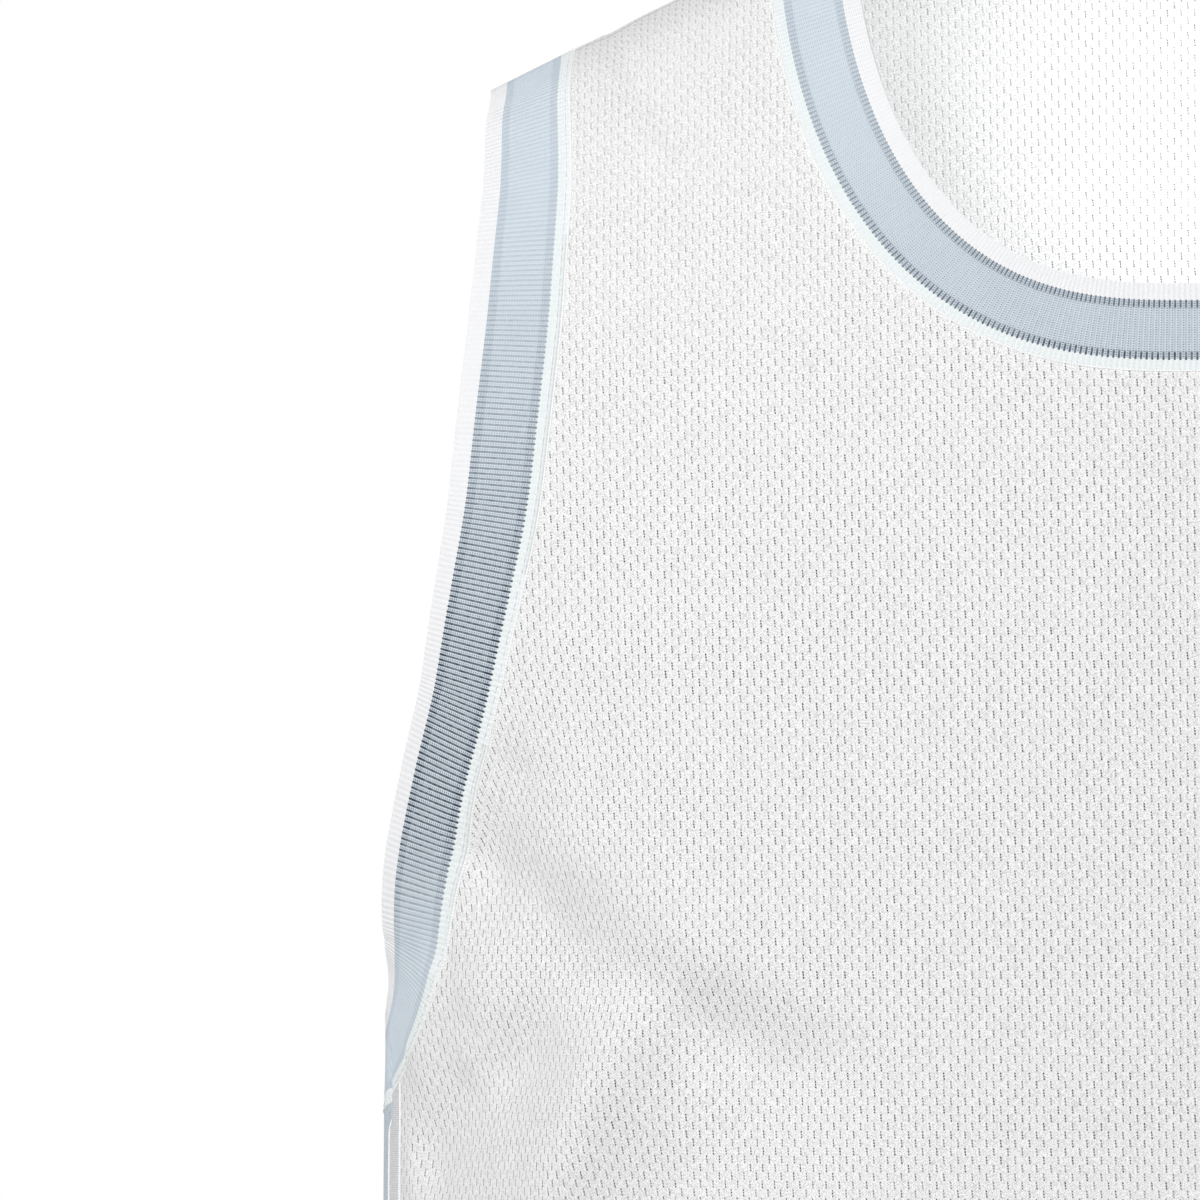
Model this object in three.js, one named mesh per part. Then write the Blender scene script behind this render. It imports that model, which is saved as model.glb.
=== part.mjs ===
// A sleeveless basketball jersey of mesh knit, in its worn shape: hollow, with nobody in it.
// Millimetres. +Z is up, the front faces -Y, and the wearer's left side is at +X.
// The origin lies between the two shoulders, at the height of the middle of the straps.

import * as THREE from 'three';
import { mergeVertices } from 'three/addons/utils/BufferGeometryUtils.js';

// Walls and seams
const MESH_WALL = 1.2;
const RIB_WALL = 1.8;
const HEM_WALL = 2.2;
const SEAM_GAP = 0.3;

// Bands, strips and hem
const NECK_RIB_WIDTH = 24.2;
const ARMHOLE_RIB_WIDTH = 25.3;
const INSERT_HALF_WIDTH = 23.5;
const STRIP_WIDTH = 11;
const HEM_ALLOWANCE = 20;
const SHOULDER_SEAM_FORWARD = 12;

// The body's sections, from the shoulder line to the hem. level is a section's height at the middle
// of a strap, halfWidth its reach to each side, front and back its depth at the middle of the body,
// and slope its fall for each millimetre outward, as the shoulders fall.
const SECTIONS = [
  { level: 1.1, halfWidth: 232, front: 0, back: 0, slope: 0.522 },
  { level: -1.4, halfWidth: 232, front: 19.5, back: 19.5, slope: 0.52 },
  { level: -8.2, halfWidth: 234, front: 37, back: 38, slope: 0.515 },
  { level: -20, halfWidth: 238, front: 50, back: 54, slope: 0.49 },
  { level: -40, halfWidth: 243, front: 65, back: 73, slope: 0.45 },
  { level: -70, halfWidth: 248, front: 81, back: 92, slope: 0.38 },
  { level: -110, halfWidth: 248, front: 97, back: 107, slope: 0.28 },
  { level: -160, halfWidth: 241, front: 110, back: 116, slope: 0.17 },
  { level: -215, halfWidth: 227, front: 118, back: 119, slope: 0.08 },
  { level: -275, halfWidth: 221.4, front: 122, back: 118, slope: 0.02 },
  { level: -330, halfWidth: 221, front: 123, back: 115, slope: 0 },
  { level: -400, halfWidth: 220, front: 121, back: 111, slope: 0 },
  { level: -480, halfWidth: 217, front: 118, back: 107, slope: 0 },
  { level: -565, halfWidth: 216, front: 117, back: 106, slope: 0 },
  { level: -655, halfWidth: 219, front: 117, back: 109, slope: 0 },
  { level: -747, halfWidth: 223, front: 118, back: 113, slope: 0 },
];
const ROUNDNESS = 2.2;
const STRAP_MIDDLE = 145;
const NAPE_BEND = 60;
const HALF_GIRTH = 550;

// The neck seam is a rounded oval round the neck, drawn down the cloth from the shoulder line.
const NECK_HALF_BREADTH = 117.3;
const NECK_FRONT = { drop: 163.6, roundness: 2.42 };
const NECK_BACK = { drop: 64, roundness: 1.75 };

// The armhole seam, down the cloth from the shoulder line. fromSide is measured round the body from
// the side line, and the last row lies under the arm.
const ARMHOLE_TOP = 170;
const ARMHOLE_FRONT = [
  { down: 35, fromSide: 81.5 },
  { down: 75, fromSide: 102 },
  { down: 115, fromSide: 112.6 },
  { down: 159, fromSide: 113.2 },
  { down: 191, fromSide: 106.3 },
  { down: 221, fromSide: 94.1 },
  { down: 250, fromSide: 77.9 },
  { down: 275, fromSide: 67.8 },
  { down: 296, fromSide: 61.8 },
  { down: 311.5, fromSide: 53 },
  { down: 323.5, fromSide: 40 },
  { down: 332.5, fromSide: 22 },
];
const ARMHOLE_BACK = [
  { down: 35, fromSide: 83 },
  { down: 75, fromSide: 104 },
  { down: 115, fromSide: 113 },
  { down: 160, fromSide: 114 },
  { down: 219, fromSide: 96 },
  { down: 250, fromSide: 81 },
  { down: 275, fromSide: 71.5 },
  { down: 296, fromSide: 63 },
  { down: 311, fromSide: 53.5 },
  { down: 323, fromSide: 40 },
  { down: 332, fromSide: 21.5 },
];
const UNDERARM_DROP = 336;

// The armhole band gapes: beside the chest and the shoulder blade it stands off the body, before and
// behind the underarm it puffs out, and under the arm it leans in a little. Degrees from the surface,
// over lengths down the cloth.
const GAPE = { front: 17, back: 13, top: 20, bottom: 255 };
const PUFF = { angle: 13, middle: 278, reach: 34 };
const LEAN = { angle: 3.5, top: 300 };

// The largest folds, each a soft ridge, or a trough where rise is below zero. around is measured from
// the centre front, positive to the wearer's left, and the centre back lies at half the girth.
const FOLDS = [
  { around: -118, height: -256, toAround: -172, toHeight: -362, width: 15, rise: 5.5 },
  { around: -185, height: -222, toAround: -100, toHeight: -291, width: 15, rise: -5 },
  { around: -88, height: -260, toAround: -134, toHeight: -366, width: 25, rise: -6 },
  { around: -146, height: -270, toAround: -214, toHeight: -322, width: 12, rise: -3.6 },
  { around: 128, height: -250, toAround: 196, toHeight: -352, width: 16, rise: 4.5 },
  { around: 152, height: -200, toAround: 108, toHeight: -312, width: 20, rise: -4 },
  { around: -62, height: -380, toAround: -92, toHeight: -960, width: 27, rise: 6 },
  { around: 84, height: -420, toAround: 66, toHeight: -960, width: 25, rise: 5 },
  { around: 12, height: -480, toAround: 2, toHeight: -960, width: 30, rise: -5 },
  { around: -196, height: -360, toAround: -178, toHeight: -960, width: 29, rise: 5 },
  { around: 212, height: -340, toAround: 226, toHeight: -960, width: 27, rise: 5.5 },
  { around: -428, height: -214, toAround: -366, toHeight: -352, width: 20, rise: 4.5 },
  { around: 420, height: -226, toAround: 372, toHeight: -338, width: 18, rise: 4 },
  { around: 546, height: -360, toAround: 556, toHeight: -960, width: 34, rise: -6 },
  { around: 462, height: -400, toAround: 450, toHeight: -960, width: 28, rise: 6 },
  { around: -470, height: -370, toAround: -484, toHeight: -960, width: 30, rise: 5.5 },
  { around: 344, height: -390, toAround: 330, toHeight: -960, width: 25, rise: -5 },
  { around: -352, height: -430, toAround: -340, toHeight: -960, width: 26, rise: 5 },
];
const FOLD_END = 0.22;

// How finely the walls are divided
const LOWER_RUNGS = 18;
const CENTRE_RUNGS = 8;
const NECK_RUNGS = 16;
const UPPER_RUNGS = CENTRE_RUNGS + NECK_RUNGS;
const HALF_COLUMNS = 11;
const RIB_COLUMNS = 3;
const CENTRE_LIFT = 26;

// Steps of the numeric measuring
const TURN_STEP = 0.5;
const ROW_STEP = 0.02;
const ARM_LOOP_STEP = 0.02;
const NECK_LOOP_STEP = 0.002;
const ROW_WEIGHT = 10;
const ARC_PIECES = 48;
const HALVINGS = 40;
const MARCH_STEP = 3;
const MERGE_DISTANCE = 1e-4;
const LOOP_PIECES = 400;
const EVEN_SLACK = 1e-9;

const WHITE_MESH = new THREE.MeshStandardMaterial({ color: 0xe6e7e7, roughness: 0.85, metalness: 0 });
const WHITE_STRIP = new THREE.MeshStandardMaterial({ color: 0xe6e8e7, roughness: 0.85, metalness: 0 });
const BLUE_KNIT = new THREE.MeshStandardMaterial({ color: 0xbcc8d0, roughness: 0.85, metalness: 0 });
const BLUE_RIB = new THREE.MeshStandardMaterial({ color: 0xb6c0ca, roughness: 0.9, metalness: 0 });

// Curves and tables

function catmullRom(before, from, to, after, t) {
  const linear = (to - before) * t;
  const square = (2 * before - 5 * from + 4 * to - after) * t ** 2;
  const cube = (3 * from - before - 3 * to + after) * t ** 3;
  return 0.5 * (2 * from + linear + square + cube);
}

function smoothStep(t) {
  const held = Math.min(Math.max(t, 0), 1);
  return held * held * (3 - 2 * held);
}

// The value on the way from one end to the other at which a test stops holding.
function bisect(start, end, test) {
  let [holds, fails] = [start, end];
  for (let i = 0; i < HALVINGS; i += 1) {
    const middle = (holds + fails) / 2;
    if (test(middle)) {
      holds = middle;
    } else {
      fails = middle;
    }
  }
  return (holds + fails) / 2;
}

// The body's surface. A station on it is a turn, in degrees round the body, and a row, a place in
// SECTIONS. Turn 0 is the left side line, 90 the centre front, 180 the right side line and 270 the
// centre back. The first row is the shoulder line, and a row below zero lies over it, on the other
// face: it is the same station as the one at minus its turn and minus its row.

function tableRow(index) {
  if (index < 0) {
    const below = SECTIONS[-index];
    return { ...below, front: -below.front, back: -below.back };
  }
  if (index < SECTIONS.length) {
    return SECTIONS[index];
  }
  const last = SECTIONS[SECTIONS.length - 1];
  const above = SECTIONS[SECTIONS.length - 2];
  const next = {};
  for (const key of Object.keys(last)) {
    next[key] = 2 * last[key] - above[key];
  }
  return next;
}

function sectionAt(row) {
  const index = Math.min(Math.max(Math.floor(row), 0), SECTIONS.length - 2);
  const near = [-1, 0, 1, 2].map((step) => tableRow(index + step));
  const section = {};
  for (const key of Object.keys(near[0])) {
    section[key] = catmullRom(...near.map((entry) => entry[key]), row - index);
  }
  return section;
}

function shoulderFall(across) {
  return Math.hypot(across, NAPE_BEND) - NAPE_BEND;
}

function otherForm(station) {
  return { turn: -station.turn, row: -station.row };
}

function uprightForm(station) {
  return station.row < 0 ? otherForm(station) : station;
}

function bodyPoint(station) {
  const { turn, row } = uprightForm(station);
  const { level, halfWidth, front, back, slope } = sectionAt(row);
  const cosine = Math.cos(THREE.MathUtils.degToRad(turn));
  const sine = Math.sin(THREE.MathUtils.degToRad(turn));
  const size = (Math.abs(cosine) ** ROUNDNESS + Math.abs(sine) ** ROUNDNESS) ** (-1 / ROUNDNESS);
  const across = halfWidth * cosine * size;
  const depth = (sine > 0 ? -front : back) * Math.abs(sine) * size;
  const height = level + slope * (shoulderFall(STRAP_MIDDLE) - shoulderFall(across));
  return new THREE.Vector3(across, depth, height);
}

// The two directions of the surface at a station: per degree of turn, and per row.
function directions({ turn, row }) {
  const alongTurn = bodyPoint({ turn: turn + TURN_STEP, row });
  alongTurn.sub(bodyPoint({ turn: turn - TURN_STEP, row })).divideScalar(2 * TURN_STEP);
  const alongRow = bodyPoint({ turn, row: row + ROW_STEP });
  alongRow.sub(bodyPoint({ turn, row: row - ROW_STEP })).divideScalar(2 * ROW_STEP);
  return { alongTurn, alongRow };
}

function outward(station) {
  const { alongTurn, alongRow } = directions(station);
  return alongTurn.cross(alongRow).normalize();
}

// The turn at which a section reaches a breadth from the middle, on the left half of the front.
function turnAtBreadth(breadth, row) {
  const reach = Math.max(sectionAt(row).halfWidth / Math.abs(breadth), 1);
  return THREE.MathUtils.radToDeg(Math.atan((reach ** ROUNDNESS - 1) ** (1 / ROUNDNESS)));
}

// How far down the cloth each row lies, at the middle of a strap.
const DOWN_STEPS = 40;
const DOWN = [0];
for (let step = 1; step <= (SECTIONS.length - 1) * DOWN_STEPS; step += 1) {
  const ends = [step - 1, step].map((count) => {
    const row = count / DOWN_STEPS;
    return bodyPoint({ turn: turnAtBreadth(STRAP_MIDDLE, row), row });
  });
  DOWN.push(DOWN[step - 1] + ends[0].distanceTo(ends[1]));
}
const WHOLE_DROP = DOWN[DOWN.length - 1];

function rowAtDown(down) {
  const next = Math.min(Math.max(DOWN.findIndex((value) => value >= down), 1), DOWN.length - 1);
  const share = (down - DOWN[next - 1]) / (DOWN[next] - DOWN[next - 1]);
  return (next - 1 + share) / DOWN_STEPS;
}

function downAtRow(row) {
  const place = row * DOWN_STEPS;
  const before = Math.min(Math.floor(place), DOWN.length - 2);
  return DOWN[before] + (place - before) * (DOWN[before + 1] - DOWN[before]);
}

// The distance round a section from the left side line to a turn.
function distanceFromSide(turn, row) {
  let length = 0;
  let last = bodyPoint({ turn: 0, row });
  for (let piece = 1; piece <= ARC_PIECES; piece += 1) {
    const next = bodyPoint({ turn: (turn * piece) / ARC_PIECES, row });
    length += last.distanceTo(next);
    last = next;
  }
  return length;
}

// The turn at a distance from the left side line. A distance below zero goes towards the back.
function turnFromSide(distance, row) {
  const sign = Math.sign(distance);
  const size = bisect(0, 90, (turn) => distanceFromSide(sign * turn, row) < Math.abs(distance));
  return sign * size;
}

function mirrored(station) {
  return { ...station, turn: 180 - station.turn };
}

// Folds

function foldRise(station, height) {
  const around = (HALF_GIRTH * (90 - uprightForm(station).turn)) / 180;
  let total = 0;
  for (const fold of FOLDS) {
    const runAround = fold.toAround - fold.around;
    const runHeight = fold.toHeight - fold.height;
    const length = Math.hypot(runAround, runHeight);
    const raw = around - fold.around;
    const offset = raw - 2 * HALF_GIRTH * Math.round(raw / (2 * HALF_GIRTH));
    const climb = height - fold.height;
    const share = (offset * runAround + climb * runHeight) / length ** 2;
    const aside = (offset * runHeight - climb * runAround) / length;
    const ends = smoothStep(share / FOLD_END) * smoothStep((1 - share) / FOLD_END);
    total += fold.rise * ends * Math.exp(-((aside / fold.width) ** 2));
  }
  return total;
}

// A point of the cloth, moved out from the middle of its wall. A band's stations have a lift.
function clothPoint(station, out) {
  const point = bodyPoint(station);
  const rise = out + foldRise(station, point.z) + (station.lift ?? 0);
  return point.addScaledVector(outward(station), rise);
}

// Seam lines. Each is a closed loop, a function from a place on it to a station.

function neckLoop(place) {
  const angle = 2 * Math.PI * place;
  const front = Math.sin(angle) > 0;
  const { drop, roundness } = front ? NECK_FRONT : NECK_BACK;
  const power = 2 / roundness;
  const row = rowAtDown(drop * Math.abs(Math.sin(angle)) ** power);
  const breadth = NECK_HALF_BREADTH * Math.abs(Math.cos(angle)) ** power;
  const turn = turnAtBreadth(breadth, row) * (front ? 1 : -1);
  return Math.cos(angle) < 0 ? mirrored({ turn, row }) : { turn, row };
}

// The left armhole's guide stations: under the arm, up the front, over the shoulder, down the back.
const underarm = { turn: 0, row: rowAtDown(UNDERARM_DROP) };
const shoulderTip = { turn: turnAtBreadth(ARMHOLE_TOP, 0), row: 0 };
const frontGuides = ARMHOLE_FRONT.map(({ down, fromSide }) => {
  const row = rowAtDown(down);
  return { turn: turnFromSide(fromSide, row), row };
});
const backGuides = ARMHOLE_BACK.map(({ down, fromSide }) => {
  const row = rowAtDown(down);
  return { turn: turnFromSide(-fromSide, row), row };
});
const ARMHOLE_GUIDES = [underarm, ...frontGuides.reverse(), shoulderTip, ...backGuides];
const SHOULDER_TIP = frontGuides.length + 1;

// The form of a station that lies nearer to another, so that a curve runs on over the shoulder.
function nearerForm(station, reference) {
  const other = otherForm(station);
  const apart = (form) => {
    const rows = Math.abs(form.row - reference.row);
    return Math.abs(form.turn - reference.turn) + ROW_WEIGHT * rows;
  };
  return apart(station) <= apart(other) ? station : other;
}

function armholeLoop(place) {
  const count = ARMHOLE_GUIDES.length;
  const index = Math.floor(place);
  const at = (step) => ARMHOLE_GUIDES[(((index + step) % count) + count) % count];
  const near = [-1, 0, 1, 2].map((step) => nearerForm(at(step), at(0)));
  return {
    turn: catmullRom(...near.map((station) => station.turn), place - index),
    row: catmullRom(...near.map((station) => station.row), place - index),
  };
}

// Walks over the surface from a station in a direction, keeping as straight as the cloth allows.
function walked(station, direction, distance) {
  const steps = Math.max(Math.ceil(Math.abs(distance) / MARCH_STEP), 1);
  const heading = direction.clone();
  let at = { ...station };
  for (let step = 0; step < steps; step += 1) {
    const normal = outward(at);
    heading.addScaledVector(normal, -heading.dot(normal)).normalize();
    const { alongTurn, alongRow } = directions(at);
    const turnTurn = alongTurn.dot(alongTurn);
    const turnRow = alongTurn.dot(alongRow);
    const rowRow = alongRow.dot(alongRow);
    const byTurn = alongTurn.dot(heading) * (distance / steps);
    const byRow = alongRow.dot(heading) * (distance / steps);
    const size = turnTurn * rowRow - turnRow ** 2;
    const turn = at.turn + (byTurn * rowRow - byRow * turnRow) / size;
    const row = at.row + (turnTurn * byRow - turnRow * byTurn) / size;
    at = { turn, row };
  }
  return at;
}

// The station beside a seam line, moved by a shift towards the opening that it goes round.
function besideSeam(loop, place, loopStep, shift) {
  const station = loop(place);
  const ahead = bodyPoint(loop(place + loopStep));
  const behind = bodyPoint(loop(place - loopStep));
  const direction = outward(station).cross(behind.sub(ahead)).normalize();
  return walked(station, direction, shift);
}

const neckStation = (place, shift) => besideSeam(neckLoop, place, NECK_LOOP_STEP, shift);
const armStation = (place, shift) => besideSeam(armholeLoop, place, ARM_LOOP_STEP, shift);

function bandAngle({ turn, row }) {
  const down = row < 0 ? 0 : downAtRow(row);
  const gape = Math.min(Math.max((down - GAPE.top) / (GAPE.bottom - GAPE.top), 0), 1);
  const lean = smoothStep((down - LEAN.top) / (UNDERARM_DROP - LEAN.top));
  const most = turn > 0 ? GAPE.front : GAPE.back;
  const puff = PUFF.angle * Math.exp(-(((down - PUFF.middle) / PUFF.reach) ** 2));
  const angle = most * Math.sin(Math.PI * gape) ** 2 + puff - LEAN.angle * lean;
  return THREE.MathUtils.degToRad(angle);
}

function armBandStation(place, shift) {
  const angle = bandAngle(armholeLoop(place));
  const station = armStation(place, shift * Math.cos(angle));
  return { ...station, lift: shift * Math.sin(angle) };
}

// Places from one end to the other, at even distances along a seam line.
function evenPlaces(loop, from, to, count) {
  const lengths = [0];
  let last = bodyPoint(loop(from));
  for (let piece = 1; piece <= LOOP_PIECES; piece += 1) {
    const next = bodyPoint(loop(from + ((to - from) * piece) / LOOP_PIECES));
    lengths.push(lengths[piece - 1] + last.distanceTo(next));
    last = next;
  }
  const places = [];
  for (let step = 0; step <= count; step += 1) {
    const wanted = (lengths[LOOP_PIECES] * step) / count;
    const after = Math.max(lengths.findIndex((value) => value >= wanted - EVEN_SLACK), 1);
    const share = (wanted - lengths[after - 1]) / (lengths[after] - lengths[after - 1]);
    places.push(from + ((to - from) * (after - 1 + share)) / LOOP_PIECES);
  }
  return places;
}

// The place on the armhole seam at a distance from the side line, towards the front or the back.
function armPlaceFromSide(distance) {
  const sign = Math.sign(distance);
  return sign * bisect(0, 2, (place) => {
    const { turn, row } = armholeLoop(sign * place);
    return distanceFromSide(turn, row) < Math.abs(distance);
  });
}

// The places where the shoulder seam meets the neck seam and the armhole seam, a little way down the
// front. shift moves the shoulder seam down the front.
function shoulderPlaces(shift) {
  const down = SHOULDER_SEAM_FORWARD + shift;
  const above = (station) => downAtRow(station.row) < down;
  const neck = bisect(0, 0.25, (place) => above(neckLoop(place)));
  const arm = bisect(SHOULDER_TIP, SHOULDER_TIP - 1, (place) => above(armholeLoop(place)));
  return { neck, arm };
}

// Walls. A grid is a list of rungs from low to high, each a list of stations in the order of turn.

function wallOf(grids, borders, wallAt) {
  const corners = [];
  const known = new Map();
  const skin = (station) => {
    const key = `${station.turn.toFixed(6)} ${station.row.toFixed(6)}`;
    if (!known.has(key)) {
      const wall = wallAt(station);
      known.set(key, {
        outer: clothPoint(station, MESH_WALL / 2),
        inner: clothPoint(station, MESH_WALL / 2 - wall),
      });
    }
    return known.get(key);
  };
  for (const grid of grids) {
    for (let i = 0; i + 1 < grid.length; i += 1) {
      for (let j = 0; j + 1 < grid[i].length; j += 1) {
        const [a, b] = [grid[i][j], grid[i][j + 1]].map(skin);
        const [d, c] = [grid[i + 1][j], grid[i + 1][j + 1]].map(skin);
        corners.push(a.outer, d.outer, c.outer, a.outer, c.outer, b.outer);
        corners.push(a.inner, c.inner, d.inner, a.inner, b.inner, c.inner);
      }
    }
  }
  for (const border of borders) {
    for (let i = 0; i + 1 < border.length; i += 1) {
      const [from, to] = [border[i], border[i + 1]].map(skin);
      corners.push(to.outer, from.outer, from.inner, to.outer, from.inner, to.inner);
    }
  }
  const positions = corners.flatMap((corner) => corner.toArray());
  const geometry = new THREE.BufferGeometry();
  geometry.setAttribute('position', new THREE.Float32BufferAttribute(positions, 3));
  const merged = mergeVertices(geometry, MERGE_DISTANCE);
  merged.computeVertexNormals();
  return merged;
}

const ribWall = () => RIB_WALL;
const HEM_ROW = SECTIONS.length - 1;
const HEM_TOP_ROW = rowAtDown(WHOLE_DROP - HEM_ALLOWANCE);
const panelWall = (station) => (station.row > HEM_TOP_ROW - ROW_STEP ? HEM_WALL : MESH_WALL);

// Rows from the hem up to a top row: the hem's allowance first, then even steps.
function rowsUpTo(topRow) {
  const start = downAtRow(HEM_TOP_ROW);
  const rows = [HEM_ROW];
  for (let rung = 1; rung <= LOWER_RUNGS; rung += 1) {
    const share = (rung - 1) / (LOWER_RUNGS - 1);
    rows.push(rowAtDown(start + share * (downAtRow(topRow) - start)));
  }
  return rows;
}

// One half of the front or back panel, on the left: rungs from the centre line or the neck seam out
// to the strip's seam or the armhole seam.
function halfPanel(face) {
  const away = -SEAM_GAP / 2;
  const sideDistance = INSERT_HALF_WIDTH + STRIP_WIDTH + SEAM_GAP / 2;
  const corner = armPlaceFromSide(face * sideDistance);
  const shoulder = shoulderPlaces((face * SEAM_GAP) / 2);
  const armEnd = face > 0 ? shoulder.arm : shoulder.arm - ARMHOLE_GUIDES.length;
  const armPlaces = evenPlaces(armholeLoop, corner, armEnd, UPPER_RUNGS);
  const neckPlaces = evenPlaces(neckLoop, face * 0.25, shoulder.neck, NECK_RUNGS);
  const neckBottom = neckStation(neckPlaces[0], away);
  const onFace = (station) => (station.turn * face > 0 ? station : otherForm(station));
  const cornerStation = armStation(corner, away);
  const centreTurn = face * 90;

  const sideRows = rowsUpTo(cornerStation.row);
  const lowDown = downAtRow(cornerStation.row) - CENTRE_LIFT;
  const centreRows = rowsUpTo(rowAtDown(lowDown));
  const rungs = [];
  for (let rung = 0; rung <= LOWER_RUNGS; rung += 1) {
    const row = sideRows[rung];
    const turn = turnFromSide(face * sideDistance, row);
    const side = rung === LOWER_RUNGS ? cornerStation : { turn, row };
    rungs.push([{ turn: centreTurn, row: centreRows[rung] }, side]);
  }
  for (let rung = 1; rung <= UPPER_RUNGS; rung += 1) {
    const side = onFace(armStation(armPlaces[rung], away));
    if (rung < CENTRE_RUNGS) {
      const share = rung / CENTRE_RUNGS;
      const down = lowDown + share * (downAtRow(neckBottom.row) - lowDown);
      rungs.push([{ turn: centreTurn, row: rowAtDown(down) }, side]);
    } else if (rung === CENTRE_RUNGS) {
      rungs.push([{ turn: centreTurn, row: neckBottom.row }, side]);
    } else {
      rungs.push([onFace(neckStation(neckPlaces[rung - CENTRE_RUNGS], away)), side]);
    }
  }
  return rungs.map(([inner, outer]) => {
    const rung = [];
    for (let column = 0; column <= HALF_COLUMNS; column += 1) {
      const share = column / HALF_COLUMNS;
      const turn = inner.turn + (outer.turn - inner.turn) * share;
      rung.push({ turn, row: inner.row + (outer.row - inner.row) * share });
    }
    return rung;
  });
}

const reversed = (list) => [...list].reverse();
const column = (grid, index) => grid.map((rung) => rung.at(index));

function panel(face) {
  const half = halfPanel(face);
  const across = (rung) => [...reversed(rung), ...rung.map(mirrored).slice(1)];
  const turned = (rung) => [...reversed(rung.map(mirrored)), ...rung.slice(1)];
  const whole = face > 0 ? across : turned;
  const neckRung = LOWER_RUNGS + CENTRE_RUNGS;
  const lower = half.slice(0, neckRung + 1).map(whole);
  const upper = half.slice(neckRung);
  const leftStrap = face > 0 ? upper.map(reversed) : upper;
  const otherSide = upper.map((rung) => rung.map(mirrored));
  const rightStrap = face > 0 ? otherSide : otherSide.map(reversed);
  const [first, second] = face > 0 ? [leftStrap, rightStrap] : [rightStrap, leftStrap];
  const border = [
    ...reversed(lower[0]),
    ...column(lower, 0),
    ...column(first, 0),
    ...first.at(-1),
    ...reversed(column(first, -1)),
    ...column(second, 0),
    ...second.at(-1),
    ...reversed(column(second, -1)),
    ...reversed(column(lower, -1)),
  ];
  return wallOf([lower, first, second], [withoutRepeats(border)], panelWall);
}

function withoutRepeats(line) {
  return line.filter((station, index) => {
    const last = line[index - 1];
    return !last || station.turn !== last.turn || station.row !== last.row;
  });
}

// A narrow panel below the left armhole, between two distances from the side line.
function narrowPanel(from, to, columns, side) {
  const away = -SEAM_GAP / 2;
  const lines = [];
  for (let step = 0; step <= columns; step += 1) {
    const distance = from + ((to - from) * step) / columns;
    const top = armStation(armPlaceFromSide(distance), away);
    const rows = rowsUpTo(top.row);
    lines.push(rows.map((row, rung) => {
      const turn = rung === LOWER_RUNGS ? top.turn : turnFromSide(distance, row);
      return { turn, row };
    }));
  }
  let grid = lines[0].map((_, rung) => lines.map((line) => line[rung]));
  if (side < 0) {
    grid = grid.map((rung) => reversed(rung.map(mirrored)));
  }
  const border = [
    ...reversed(grid[0]),
    ...column(grid, 0),
    ...grid.at(-1),
    ...reversed(column(grid, -1)),
  ];
  return wallOf([grid], [withoutRepeats(border)], panelWall);
}

// A closed band along a seam line, from its seam edge to its free edge.
function ribBand(stationAt, places, width) {
  const grid = [];
  for (let step = 0; step <= RIB_COLUMNS; step += 1) {
    const shift = SEAM_GAP / 2 + ((width - SEAM_GAP / 2) * step) / RIB_COLUMNS;
    const rung = places.map((place) => stationAt(place, shift));
    grid.push([...rung, rung[0]]);
  }
  return grid;
}

function ribGeometry(grid) {
  return wallOf([grid], [reversed(grid[0]), grid.at(-1)], ribWall);
}

function neckRib() {
  const shoulder = shoulderPlaces(0);
  const front = evenPlaces(neckLoop, shoulder.neck, 0.25, NECK_RUNGS);
  const back = evenPlaces(neckLoop, -0.25, shoulder.neck, NECK_RUNGS);
  const left = [...back, ...front.slice(1)];
  const right = reversed(left).slice(1, -1).map((place) => 0.5 - place);
  return ribGeometry(ribBand(neckStation, [...left, ...right], NECK_RIB_WIDTH));
}

function armholeRib(side) {
  const sideDistance = INSERT_HALF_WIDTH + STRIP_WIDTH;
  const under = [-sideDistance, -INSERT_HALF_WIDTH, 0, INSERT_HALF_WIDTH, sideDistance];
  const underPlaces = under.map((distance) => (distance === 0 ? 0 : armPlaceFromSide(distance)));
  const shoulder = shoulderPlaces(0);
  const front = evenPlaces(armholeLoop, underPlaces.at(-1), shoulder.arm, UPPER_RUNGS);
  const backEnd = ARMHOLE_GUIDES.length + underPlaces[0];
  const back = evenPlaces(armholeLoop, shoulder.arm, backEnd, UPPER_RUNGS);
  const places = [...underPlaces.slice(0, -1), ...front, ...back.slice(1, -1)];
  let grid = ribBand(armBandStation, places, ARMHOLE_RIB_WIDTH);
  if (side < 0) {
    grid = grid.map((rung) => reversed(rung.map(mirrored)));
  }
  return ribGeometry(grid);
}

const jersey = new THREE.Group();

function add(name, geometry, material) {
  const mesh = new THREE.Mesh(geometry, material);
  mesh.name = name;
  jersey.add(mesh);
}

add('front_panel', panel(1), WHITE_MESH);
add('back_panel', panel(-1), WHITE_MESH);
add('neck_rib', neckRib(), BLUE_RIB);
const insertEdge = INSERT_HALF_WIDTH - SEAM_GAP / 2;
const stripInner = INSERT_HALF_WIDTH + SEAM_GAP / 2;
const stripOuter = INSERT_HALF_WIDTH + STRIP_WIDTH - SEAM_GAP / 2;
for (const [name, side] of [['left', 1], ['right', -1]]) {
  add(`armhole_rib_${name}`, armholeRib(side), BLUE_RIB);
  add(`side_panel_${name}`, narrowPanel(-insertEdge, insertEdge, 4, side), BLUE_KNIT);
  add(`side_strip_front_${name}`, narrowPanel(stripInner, stripOuter, 1, side), WHITE_STRIP);
  add(`side_strip_back_${name}`, narrowPanel(-stripOuter, -stripInner, 1, side), WHITE_STRIP);
}

export default jersey;
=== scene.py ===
# A sleeveless basketball jersey of white mesh knit with striped rib bands, hollow, in its worn shape.
# Cloth is worked out in millimetres in the part's own frame: +Z is up, the front faces -Y, and the
# wearer's left side is at +X. Lengths turn into metres when a mesh is made.

import math

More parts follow.
